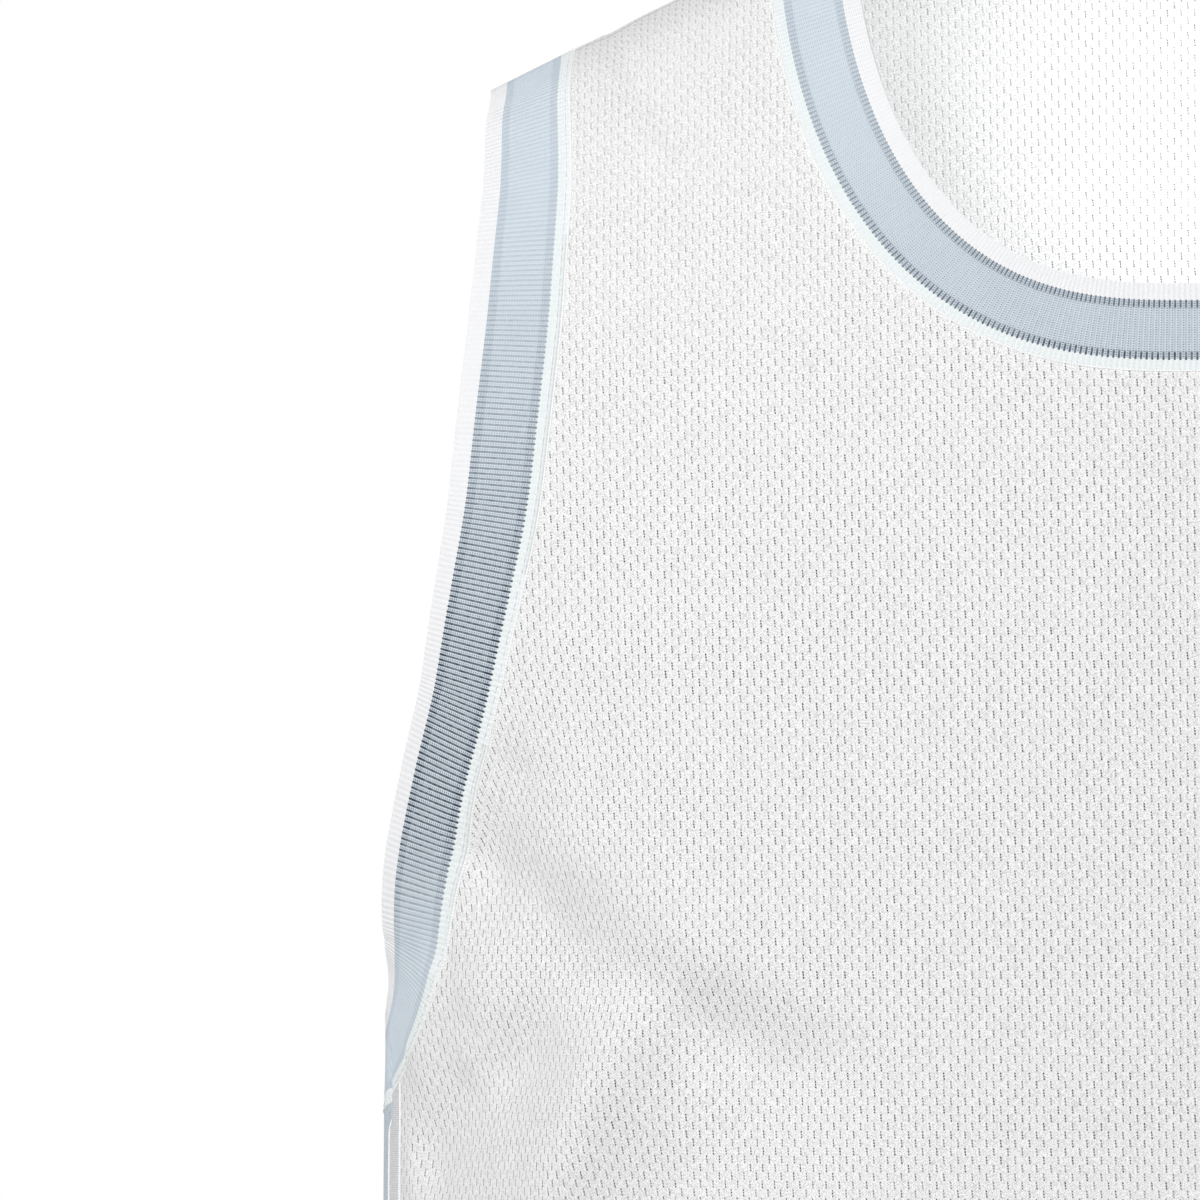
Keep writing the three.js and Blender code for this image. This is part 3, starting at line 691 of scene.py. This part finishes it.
def half_panel(face):
    """The left half of the front or back: rungs from the centre line or the neck seam outward."""
    away = -SEAM_GAP / 2
    side_distance = face * (INSERT_HALF_WIDTH + STRIP_WIDTH + SEAM_GAP / 2)
    corner = arm_place_from_side(side_distance)
    neck_end, arm_end = shoulder_places(face * SEAM_GAP / 2)
    if face < 0:
        arm_end -= GUIDE_COUNT
    arm = arm_station(even_places(armhole_loop, corner, arm_end, UPPER_RUNGS), away)
    neck = neck_station(even_places(neck_loop, face * 0.25, neck_end, NECK_RUNGS), away)
    arm_turn, arm_row = on_face(*arm, face)
    neck_turn, neck_row = on_face(*neck, face)
    centre_turn = face * 90.0

    side_rows = rung_rows(arm_row[0])
    side_turns = turn_from_side(side_distance, side_rows)
    low_down = down_at_row(arm_row[0]) - CENTRE_LIFT
    centre_downs = np.linspace(low_down, down_at_row(neck_row[0]), CENTRE_RUNGS + 1)
    inner_row = np.concatenate(
        [rung_rows(row_at_down(low_down)), row_at_down(centre_downs[1:]), neck_row[1:]]
    )
    inner_turn = np.full_like(inner_row, centre_turn)
    inner_turn[-NECK_RUNGS:] = neck_turn[1:]
    outer_row = np.concatenate([side_rows[:-1], arm_row])
    outer_turn = np.concatenate([side_turns[:-1], arm_turn])

    ends = body_point(inner_turn, inner_row), body_point(outer_turn, outer_row)
    length = np.linalg.norm(ends[1] - ends[0], axis=-1)[:, None]
    edge = np.array(EDGE_STEPS) / length
    even = np.linspace(0, 1, HALF_COLUMNS + 1)[1:-1] * (1 - 2 * edge[:, -1:]) + edge[:, -1:]
    share = np.hstack([edge, even, 1 - edge[:, ::-1]])
    turn = inner_turn[:, None] + (outer_turn - inner_turn)[:, None] * share
    row = inner_row[:, None] + (outer_row - inner_row)[:, None] * share
    return turn, row


def panel(name, face, material):
    turn, row = half_panel(face)
    rungs, columns = turn.shape
    neck_rung = rungs - 1 - NECK_RUNGS
    halves = [turn, 180 - turn] if face > 0 else [180 - turn, turn]
    first, second = halves[0][:, ::-1], halves[1]
    row_first = row[:, ::-1]
    low_turn = np.hstack([first[: neck_rung + 1], second[: neck_rung + 1, 1:]])
    low_row = np.hstack([row_first[: neck_rung + 1], row[: neck_rung + 1, 1:]])
    parts = [
        (low_turn, low_row),
        (first[neck_rung + 1 :], row_first[neck_rung + 1 :]),
        (second[neck_rung + 1 :], row[neck_rung + 1 :]),
    ]
    stations = [np.concatenate([part[axis].ravel() for part in parts]) for axis in (0, 1)]
    low = np.arange(low_turn.size).reshape(low_turn.shape)
    strap = np.arange(NECK_RUNGS * columns).reshape(NECK_RUNGS, columns)
    indexes = [
        low,
        np.vstack([low[-1:, :columns], strap + low.size]),
        np.vstack([low[-1:, columns - 1 :], strap + low.size + strap.size]),
    ]
    flat = cloth_coordinates(*stations)
    uvs = drawn_in(flat)
    hem_reach = WHOLE_DROP - down_at_row(stations[1])
    wall = np.where(hem_reach < HEM_ALLOWANCE, HEM_WALL, MESH_WALL)
    offsets = [np.full_like(wall, MESH_WALL / 2), MESH_WALL / 2 - wall]
    grids = [(index, uvs[index]) for index in indexes]
    return shell(name, stations, offsets, grids, material), flat_cut(flat, indexes)


def narrow_panel(name, start, end, columns, side, material):
    """A narrow piece below an armhole, between two distances from the side line."""
    lines = []
    for distance in np.linspace(start, end, columns + 1):
        place = arm_place_from_side(distance) if distance else 0.0
        top_turn, top_row = arm_station(np.array([place]), -SEAM_GAP / 2)
        rows = rung_rows(top_row[0])
        turns = turn_from_side(distance, rows) if distance else np.zeros_like(rows)
        turns[-1] = top_turn[0]
        lines.append((turns, rows, np.full_like(rows, distance)))
    turn, row, across = (np.stack([line[axis] for line in lines], axis=1) for axis in range(3))
    uvs = np.stack([across, down_at_row(row)], axis=-1)
    if side < 0:
        turn, row, uvs = 180 - turn[:, ::-1], row[:, ::-1], uvs[:, ::-1]
    index = np.arange(turn.size).reshape(turn.shape)
    hem_reach = WHOLE_DROP - down_at_row(row.ravel())
    wall = np.where(hem_reach < HEM_ALLOWANCE, HEM_WALL, MESH_WALL)
    offsets = [np.full_like(wall, MESH_WALL / 2), MESH_WALL / 2 - wall]
    piece = shell(name, (turn.ravel(), row.ravel()), offsets, [(index, uvs)], material)
    return piece, flat_cut(uvs.reshape(-1, 2), [index])


# The rib bands


def rib_band(name, loop, loop_end, station_at, gape, width, blue, side, material):
    length = loop_length(loop, 0, loop_end)
    ridges = round(length / RIB_PITCH)
    count = ridges * RIDGE_DIVISIONS
    places = even_places(loop, 0, loop_end, count)[:-1]
    shifts = np.linspace(SEAM_GAP / 2, width, BAND_COLUMNS + 1)
    angle = gape(*loop(places))
    stations = [station_at(places, shift * np.cos(angle)) for shift in shifts]
    turn, row = (np.stack([station[axis] for station in stations]) for axis in (0, 1))
    lift = shifts[:, None] * np.sin(angle)
    step = np.arange(count)
    ridge = RIDGE_RISE * np.cos(2 * np.pi * step / RIDGE_DIVISIONS)
    outer = MESH_WALL / 2 + ridge[None, :] * np.ones((len(shifts), 1))
    inner = np.full_like(outer, MESH_WALL / 2 - RIB_WALL)
    run = np.arange(count + 1) * RIB_PITCH / RIDGE_DIVISIONS
    reach = np.interp(shifts / width, (0, *blue, 1), (0, BLUE_START, BLUE_END, BAND_UNITS))
    uvs = np.stack(np.broadcast_arrays(run[None, :], reach[:, None]), axis=-1)
    index = np.arange(turn.size).reshape(turn.shape)
    index = np.hstack([index, index[:, :1]])
    if side < 0:
        turn = 180 - turn
        index, uvs = index[:, ::-1], uvs[:, ::-1]
    offsets = [outer.ravel(), inner.ravel()]
    stations = (turn.ravel(), row.ravel(), lift.ravel())
    cut = length * METRE, width * METRE, length * width * METRE**2
    return shell(name, stations, offsets, [(index, uvs)], material, SMOOTH_KNIT), cut


# Sewing


def welt(name, turn, row, material, rise=WELT_RISE):
    """A low rounded ridge over the middle line of a grid of three lines of stations."""
    shares = np.linspace(-1, 1, WELT_SHARES)
    weights = np.stack([np.maximum(-shares, 0), 1 - np.abs(shares), np.maximum(shares, 0)])
    turn, row = (np.tensordot(weights, line, axes=(0, 0)) for line in (turn, row))
    arch = rise * np.sqrt(np.clip(1 - shares**2, 0, 1))[:, None] * np.ones(turn.shape[1])
    outer = MESH_WALL / 2 + arch + WELT_LIFT
    inner = np.full_like(outer, MESH_WALL / 2 - WELT_ROOT)
    index = np.arange(turn.size).reshape(turn.shape)
    run = np.arange(turn.shape[1]) * WELT_STEP
    uvs = np.stack(np.broadcast_arrays(run[None, :], shares[:, None]), axis=-1)
    stations = (turn.ravel(), row.ravel())
    offsets = [outer.ravel(), inner.ravel()]
    return shell(name, stations, offsets, [(index, uvs)], material, SMOOTH_KNIT)


def mirror_grid(turn, row):
    return 180 - turn[:, ::-1], row[:, ::-1]


def loop_welt(name, loop, start, end, station_at, side, material):
    count = round(loop_length(loop, start, end) / WELT_STEP)
    places = even_places(loop, start, end, count)
    lines = [station_at(places, shift) for shift in (-WELT_HALF_WIDTH, 0, WELT_HALF_WIDTH)]
    turn, row = (np.stack([line[axis] for line in lines]) for axis in (0, 1))
    if side < 0:
        turn, row = mirror_grid(turn, row)
    return welt(name, turn, row, material)


def side_welt(name, distance, side, material):
    """A seam's line down the side, at a distance from the side line."""
    lines = []
    place = arm_place_from_side(distance)
    top_row = armhole_loop(np.array([place]))[1][0]
    downs = np.arange(down_at_row(top_row), WHOLE_DROP - 1, WELT_STEP)
    rows = row_at_down(downs)[::-1]
    for shift in (-WELT_HALF_WIDTH, 0, WELT_HALF_WIDTH):
        lines.append((turn_from_side(distance + shift, rows), rows))
    turn, row = (np.stack([line[axis] for line in lines]) for axis in (0, 1))
    turn, row = turn[::-1], row[::-1]
    if side < 0:
        turn, row = mirror_grid(turn, row)
    return welt(name, turn, row, material)


def shoulder_welt(name, side, material):
    """The line of a shoulder seam, from the neck to the armhole."""
    lines = []
    for shift in (WELT_HALF_WIDTH, 0, -WELT_HALF_WIDTH):
        neck, arm = shoulder_places(shift)
        starts = neck_loop(np.array([neck]))
        ends = armhole_loop(np.array([arm]))
        share = np.linspace(0, 1, SHOULDER_STEPS + 1)
        lines.append([end + (start - end) * share for start, end in zip(starts, ends)])
    turn, row = (np.stack([line[axis] for line in lines]) for axis in (0, 1))
    if side < 0:
        turn, row = mirror_grid(turn, row)
    return welt(name, turn, row, material, SHOULDER_RISE)


def stitches(name, lines, material):
    """Short threads that rise from the cloth and dip back in, joined in one mesh."""
    starts, ends, ways_out = (np.concatenate([line[part] for line in lines]) for part in range(3))
    along = ends - starts
    sideways = unit(np.cross(along, ways_out)) * STITCH_RADIUS
    rounds = np.radians(np.arange(0, 360, 360 / STITCH_SIDES))
    rings = []
    for share, rise, size in STITCH_PROFILE:
        centre = starts + along * share + ways_out * STITCH_RADIUS * rise
        ring = [
            centre + size * (sideways * math.cos(angle) + ways_out * STITCH_RADIUS * math.sin(angle))
            for angle in rounds
        ]
        rings.append(np.stack(ring, axis=1))
    points = np.stack(rings, axis=1)
    count, ring_count, side_count, _ = points.shape
    base = (np.arange(count) * ring_count * side_count)[:, None]
    faces = []
    for ring in range(ring_count - 1):
        for corner in range(side_count):
            here, following = ring * side_count + corner, ring * side_count + (corner + 1) % side_count
            faces.append(base + (here, here + side_count, following + side_count, following))
    caps = [(0, 1, 2, 3), (0, 3, 4, 5)]
    last = (ring_count - 1) * side_count
    for cap in caps:
        faces.append(base + np.array(cap))
        faces.append(base + last + np.array(cap[::-1]))
    faces = np.concatenate(faces)
    points, uvs = points.reshape(-1, 3), np.zeros((len(faces), 4, 2))
    return new_object(name, points, faces, uvs, material, SMOOTH_KNIT)


def stitched_line(turn, row, lift=0):
    """The ends of the stitches on a line of stations, and the ways out of the cloth there."""
    points, ways_out = cloth_at(turn, row, lift)
    points = points + ways_out * (MESH_WALL / 2)
    run = running_length(points)
    count = round(run[-1] / (STITCH_LENGTH + STITCH_GAP))
    starts = np.arange(count) * run[-1] / count
    ends = [
        np.stack([np.interp(at, run, points[:, axis]) for axis in range(3)], axis=-1)
        for at in (starts, starts + STITCH_LENGTH)
    ]
    ways = [np.interp(starts, run, ways_out[:, axis]) for axis in range(3)]
    return ends[0], ends[1], unit(np.stack(ways, axis=-1))


def hem_stitches(name, material):
    turn = np.linspace(0, 360, HEM_STITCH_POINTS)
    lines = []
    for reach in HEM_STITCH_ROWS:
        row = np.full_like(turn, row_at_down(WHOLE_DROP - reach))
        lines.append(stitched_line(turn, row))
    return stitches(name, lines, material)


def armhole_stitches(name, side, material):
    """A row of stitches on the band, beside its seam."""
    places = even_places(armhole_loop, 0, GUIDE_COUNT, ARM_STITCH_POINTS)
    angle = band_angle(*armhole_loop(places))
    turn, row = arm_station(places, BAND_STITCH_SHIFT * np.cos(angle))
    lift = BAND_STITCH_SHIFT * np.sin(angle)
    if side < 0:
        turn = 180 - turn
    return stitches(name, [stitched_line(turn, row, lift)], material)


# Materials


class Value:
    """A number that varies over a surface, worked out by the nodes of one material."""

    def __init__(self, tree, socket):
        self.tree = tree
        self.socket = socket

    def of(self, operation, *others):
        node = self.tree.nodes.new("ShaderNodeMath")
        node.operation = operation
        for entry, value in zip(node.inputs, (self, *others)):
            put(self.tree, entry, value)
        return Value(self.tree, node.outputs[0])

    def __add__(self, other):
        return self.of("ADD", other)

    def __sub__(self, other):
        return self.of("SUBTRACT", other)

    def __mul__(self, other):
        return self.of("MULTIPLY", other)

    def __truediv__(self, other):
        return self.of("DIVIDE", other)

    def size(self):
        return self.of("ABSOLUTE")

    def ramp(self, start, end):
        """0 up to start and 1 from end on, smooth between them."""
        node = self.tree.nodes.new("ShaderNodeMapRange")
        node.interpolation_type = "SMOOTHSTEP"
        for entry, value in zip(node.inputs, (self, start, end, 0.0, 1.0)):
            put(self.tree, entry, value)
        return Value(self.tree, node.outputs[0])

    def wave(self, period):
        """1 at each whole period and -1 halfway."""
        return (self * (2 * math.pi / period)).of("COSINE")


def put(tree, entry, value):
    if isinstance(value, Value):
        tree.links.new(value.socket, entry)
    elif isinstance(value, bpy.types.NodeSocket):
        tree.links.new(value, entry)
    elif isinstance(value, tuple):
        entry.default_value = (*value, 1)
    else:
        entry.default_value = value


class Finish:
    """One material: its shader, and the places on the cloth that its colours are worked out from."""

    def __init__(self, name, roughness, sheen):
        self.material = bpy.data.materials.new(name)
        self.material.use_nodes = True
        self.tree = self.material.node_tree
        self.shader = self.tree.nodes["Principled BSDF"]
        self.shader.inputs["Roughness"].default_value = roughness
        self.shader.inputs["Sheen Weight"].default_value = sheen
        self.shader.inputs["Sheen Roughness"].default_value = 0.5
        self.shader.inputs["Specular IOR Level"].default_value = 0.3

    def parts(self, socket):
        node = self.tree.nodes.new("ShaderNodeSeparateXYZ")
        self.tree.links.new(socket, node.inputs[0])
        return [Value(self.tree, output) for output in node.outputs]

    def cloth(self):
        node = self.tree.nodes.new("ShaderNodeUVMap")
        node.uv_map = "cloth"
        return self.parts(node.outputs[0])[:2]

    def place(self):
        """The place in the part's frame, in millimetres."""
        node = self.tree.nodes.new("ShaderNodeTexCoord")
        return [value / METRE for value in self.parts(node.outputs["Object"])]

    def noise(self, size, detail=2.0):
        """Soft noise between 0 and 1, with patches of a size in millimetres."""
        place = self.tree.nodes.new("ShaderNodeTexCoord")
        node = self.tree.nodes.new("ShaderNodeTexNoise")
        self.tree.links.new(place.outputs["Object"], node.inputs["Vector"])
        node.inputs["Scale"].default_value = 1 / (size * METRE)
        node.inputs["Detail"].default_value = detail
        return Value(self.tree, node.outputs[0])

    def scatter(self, first, second):
        """A number between 0 and 1 that differs from each pair of whole numbers to the next."""
        pair = self.tree.nodes.new("ShaderNodeCombineXYZ")
        put(self.tree, pair.inputs[0], first)
        put(self.tree, pair.inputs[1], second)
        node = self.tree.nodes.new("ShaderNodeTexWhiteNoise")
        node.noise_dimensions = "2D"
        self.tree.links.new(pair.outputs[0], node.inputs["Vector"])
        return Value(self.tree, node.outputs[0])

    def mixed(self, share, first, second):
        node = self.tree.nodes.new("ShaderNodeMix")
        node.data_type = "RGBA"
        put(self.tree, node.inputs[0], share)
        put(self.tree, node.inputs[6], first)
        put(self.tree, node.inputs[7], second)
        return node.outputs[2]

    def finished(self, colour, relief, depth):
        """Puts the colour on, and a relief whose height of 1 is a depth in millimetres."""
        bump = self.tree.nodes.new("ShaderNodeBump")
        bump.inputs["Distance"].default_value = depth * METRE
        put(self.tree, bump.inputs["Height"], relief)
        self.tree.links.new(bump.outputs[0], self.shader.inputs["Normal"])
        put(self.tree, self.shader.inputs["Base Color"], colour)
        return self.material


def mesh_knit(name, light, dark, slit_shade_colour):
    """Knit with staggered slits, each a short leaning row of three gaps with a raised lip. The slits
    are painted dark, as shade seen into the gaps.
    """
    finish = Finish(name, roughness=0.8, sheen=0.1)
    across, down = finish.cloth()
    sideways, _, height = finish.place()
    column = across / SLIT_COLUMN
    odd = column.of("FLOOR").of("FLOORED_MODULO", 2.0)
    aside = (column.of("FRACT") - 0.5) * SLIT_COLUMN
    step = down / SLIT_PITCH + odd * 0.5
    along = (step.of("FRACT") - 0.5) * SLIT_PITCH
    off = aside - along * SLIT_LEAN
    length = along.size().ramp(*SLIT_ENDS)
    slit_chance = finish.scatter(column.of("FLOOR"), step.of("FLOOR"))
    gap_chance = finish.scatter(column.of("FLOOR"), (down / COURSE).of("ROUND"))
    gaps = along.wave(COURSE) * CROSSING_SHADE + CROSSING_LEVEL
    slit = off.size().ramp(*SLIT_EDGES) * length * gaps
    # Painted light: towards the shoulders, and most far outward, the slits' painted shade is washed out
    outward_share = sideways.size().ramp(*PAINTED_LIGHT_BREADTHS) * PAINTED_LIGHT_OUTWARD + PAINTED_LIGHT_INWARD
    closed = height.ramp(*PAINTED_LIGHT_HEIGHTS) * outward_share
    shown = (slit_chance * gap_chance * CHANCE_REACH + CHANCE_LEVEL) * (closed * -1 + 1)
    lip = (off + LIP_SHIFT).size().ramp(*LIP_EDGES) * length
    loops = across.wave(WALE) * down.wave(COURSE)
    grain = finish.noise(GRAIN_SIZE, 1.0)
    patch = finish.noise(PATCH_SIZE)
    tone = loops * LOOP_TONE + grain * GRAIN_TONE + patch * PATCH_TONE - lip * LIP_TONE - TONE_SHIFT
    plain = finish.mixed(tone, light, dark)
    # The slits are painted dark, as shade seen into the gaps
    colour = finish.mixed(slit * shown, plain, slit_shade_colour)
    relief = loops * LOOP_RELIEF + lip * LIP_RELIEF - slit
    return finish.finished(colour, relief, MESH_RELIEF)


def striped_rib_knit(name):
    """Rib knit across a band: white, blue with dark lines of painted shade between its ridges, white.
    """
    finish = Finish(name, roughness=0.85, sheen=0.15)
    run, reach = finish.cloth()
    sideways, _, height = finish.place()
    crest = run.wave(RIB_PITCH)
    beside_neck = sideways.size().ramp(*NECK_BREADTHS)
    level = height - beside_neck * NECK_LOWER
    drawn = level.ramp(*TIGHT_START) * level.ramp(*TIGHT_END) * (1 - TIGHT_LEAST) + TIGHT_LEAST
    tooth = crest.ramp(*TOOTH_EDGES) * drawn * TOOTH
    nearest = (reach + tooth - BLUE_START).of("MINIMUM", tooth - reach + BLUE_END)
    blue = nearest.ramp(-BLUE_EDGE, BLUE_EDGE)
    margin = nearest.ramp(MARGIN, MARGIN - MARGIN_EDGE)
    neck_share = margin * NECK_MARGIN_GAIN - NECK_MIDDLE_LOSS
    # Painted shade in the rib's hollows: a solid line between the ridges and dots along the crests,
    # made uneven by fine noise
    solid = crest.ramp(*LINE_EDGES) * (beside_neck * neck_share + 1)
    loops = reach.wave(LOOP_LENGTH)
    dotted = crest.ramp(*DOT_EDGES_ACROSS) * loops.ramp(*DOT_EDGES_ALONG)
    patch = finish.noise(BAND_PATCH)
    uneven = finish.noise(LINE_NOISE_SIZE, 1.0) * LINE_NOISE_REACH + LINE_NOISE_LEVEL
    strength = (margin * LINE_MARGIN + LINE_LEVEL) * drawn * uneven
    lines = solid.of("MAXIMUM", dotted * DOT_SHARE) * strength
    pale = finish.mixed(patch, BLUE_PALE, BLUE_LIGHT)
    # Painted shade darkens the blue along both its edges, where the pillowed band rounds off
    ground = finish.mixed(margin * MARGIN_SHADE_SHARE, pale, BLUE_MARGIN_SHADE)
    knit = finish.mixed(lines, ground, BLUE_HOLLOW_SHADE)
    white = finish.mixed(reach.ramp(*COOL_TO_PLAIN), WHITE_COOL, WHITE_PLAIN)
    shade = solid * FAINT_LINE + loops * FAINT_LOOP + patch * FAINT_PATCH
    colour = finish.mixed(blue, finish.mixed(shade, white, WHITE_SHADE), knit)
    hollows = (solid * RIB_LINE_RELIEF + dotted * RIB_DOT_RELIEF) * blue
    return finish.finished(colour, loops * RIB_LOOP_RELIEF - hollows, RIB_RELIEF)


def plain_knit(name, light, dark):
    """Close knit with small stitches."""
    finish = Finish(name, roughness=0.85, sheen=0.1)
    across, down = finish.cloth()
    stitch = across.wave(WALE * KNIT_FINENESS) * 0.5 + down.wave(COURSE * KNIT_FINENESS) * 0.5
    grain = finish.noise(KNIT_GRAIN_SIZE) * KNIT_GRAIN
    patch = finish.noise(KNIT_PATCH_SIZE) * KNIT_PATCH
    tone = stitch * KNIT_STITCH + grain + patch - KNIT_SHIFT
    return finish.finished(finish.mixed(tone, light, dark), stitch, KNIT_RELIEF)


def thread(name, light, dark):
    """Twisted sewing thread."""
    finish = Finish(name, roughness=0.6, sheen=0.2)
    run = finish.cloth()[0]
    twist = run.wave(TWIST_LENGTH)
    tone = twist * TWIST_TONE + finish.noise(TWIST_GRAIN_SIZE) * TWIST_GRAIN
    return finish.finished(finish.mixed(tone, light, dark), twist, TWIST_RELIEF)


white_mesh = mesh_knit("white mesh knit", MESH_LIGHT, MESH_DARK, MESH_SLIT_SHADE)
striped_rib = striped_rib_knit("striped rib knit")
blue_mesh = mesh_knit("blue mesh knit", BLUE_LIGHT, BLUE_KNIT_DARK, BLUE_SLIT_SHADE)
white_strip = plain_knit("white strip knit", WHITE_PLAIN, WHITE_SHADE)
white_thread = thread("white thread", THREAD_LIGHT, THREAD_DARK)
grey_thread = thread("grey thread", GREY_LIGHT, GREY_DARK)


def place_cloth(piece_and_cut, nodes):
    piece, (width, length, area) = piece_and_cut
    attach(piece, "root")
    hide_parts(*nodes)


def place_sewing(piece):
    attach(piece, "root")


place_cloth(panel("front_cloth", 1, white_mesh), ["front_panel"])
place_cloth(panel("back_cloth", -1, white_mesh), ["back_panel"])
neck_band = rib_band(
    "neck_band",
    neck_loop,
    1,
    neck_station,
    flat_angle,
    NECK_RIB_WIDTH,
    NECK_BLUE,
    1,
    striped_rib,
)
place_cloth(neck_band, ["neck_rib"])
place_sewing(loop_welt("neck_seam", neck_loop, 0, 1, neck_station, 1, white_thread))
place_sewing(hem_stitches("hem_stitches", white_thread))

INSERT_EDGE = INSERT_HALF_WIDTH - SEAM_GAP / 2
STRIP_INNER = INSERT_HALF_WIDTH + SEAM_GAP / 2
STRIP_OUTER = INSERT_HALF_WIDTH + STRIP_WIDTH - SEAM_GAP / 2
for side_name, side in (("left", 1), ("right", -1)):
    armhole_band = rib_band(
        f"armhole_band_{side_name}",
        armhole_loop,
        GUIDE_COUNT,
        arm_station,
        band_angle,
        ARMHOLE_RIB_WIDTH,
        ARM_BLUE,
        side,
        striped_rib,
    )
    place_cloth(armhole_band, [f"armhole_rib_{side_name}"])
    ends = -INSERT_EDGE, INSERT_EDGE
    insert = narrow_panel(f"insert_{side_name}", *ends, INSERT_COLUMNS, side, blue_mesh)
    place_cloth(insert, [f"side_panel_{side_name}"])
    for face_name, face in (("front", 1), ("back", -1)):
        ends = sorted((face * STRIP_INNER, face * STRIP_OUTER))
        strip_name = f"strip_{face_name}_{side_name}"
        strip = narrow_panel(strip_name, *ends, STRIP_COLUMNS, side, white_strip)
        place_cloth(strip, [f"side_strip_{face_name}_{side_name}"])
        for seam_name, distance in (
            ("insert_seam", INSERT_HALF_WIDTH),
            ("strip_seam", INSERT_HALF_WIDTH + STRIP_WIDTH),
        ):
            name = f"{seam_name}_{face_name}_{side_name}"
            place_sewing(side_welt(name, face * distance, side, white_thread))
    name = f"armhole_seam_{side_name}"
    place_sewing(
        loop_welt(name, armhole_loop, 0, GUIDE_COUNT, arm_station, side, white_thread)
    )
    place_sewing(armhole_stitches(f"armhole_stitches_{side_name}", side, white_thread))
    place_sewing(shoulder_welt(f"shoulder_seam_{side_name}", side, grey_thread))


# Floor, light and camera


def floor_finish():
    finish = Finish("pale floor", roughness=0.9, sheen=0)
    colour = finish.mixed(finish.noise(FLOOR_PATCH), FLOOR_DARK, FLOOR_LIGHT)
    return finish.finished(colour, finish.noise(FLOOR_GRAIN), FLOOR_RELIEF)


def make_floor():
    mesh = bpy.data.meshes.new("floor")
    signs = (-1, -1), (1, -1), (1, 1), (-1, 1)
    corners = [(x * FLOOR_REACH, y * FLOOR_REACH) for x, y in signs]
    mesh.from_pydata([(x, y, FLOOR_HEIGHT) for x, y in corners], [], [(0, 1, 2, 3)])
    mesh.uv_layers.new(name="cloth")
    mesh.materials.append(floor_finish())
    floor = bpy.data.objects.new("floor", mesh)
    bpy.context.scene.collection.objects.link(floor)


def area_light(name, place, aim, size, power):
    light = bpy.data.lights.new(name, "AREA")
    light.size = size
    light.energy = power
    holder = bpy.data.objects.new(name, light)
    holder.location = place
    holder.rotation_euler = (Vector(aim) - Vector(place)).to_track_quat("-Z", "Y").to_euler()
    holder.visible_camera = False
    bpy.context.scene.collection.objects.link(holder)


def make_camera():
    camera = bpy.data.cameras.new("camera")
    camera.lens = CAMERA_LENS
    camera.sensor_width = CAMERA_SENSOR
    camera.clip_end = CAMERA_REACH
    holder = bpy.data.objects.new("camera", camera)
    holder.location = CAMERA_PLACE
    holder.rotation_euler = (CAMERA_AIM - CAMERA_PLACE).to_track_quat("-Z", "Y").to_euler()
    bpy.context.scene.collection.objects.link(holder)
    bpy.context.scene.camera = holder


def make_studio():
    """A room that is white round the horizon and dimmer overhead."""
    world = bpy.data.worlds.new("studio")
    world.use_nodes = True
    tree = world.node_tree
    tree.nodes["Background"].inputs["Color"].default_value = (1, 1, 1, 1)
    place = tree.nodes.new("ShaderNodeTexCoord")
    parts = tree.nodes.new("ShaderNodeSeparateXYZ")
    tree.links.new(place.outputs["Generated"], parts.inputs[0])
    overhead = Value(tree, parts.outputs[2]).ramp(*OVERHEAD_FROM_TO)
    put(tree, tree.nodes["Background"].inputs["Strength"], overhead * (OVERHEAD - 1) + 1)
    bpy.context.scene.world = world


make_studio()
bpy.context.scene.view_settings.view_transform = "Standard"
make_floor()
for light in LIGHTS:
    area_light(*light)
make_camera()
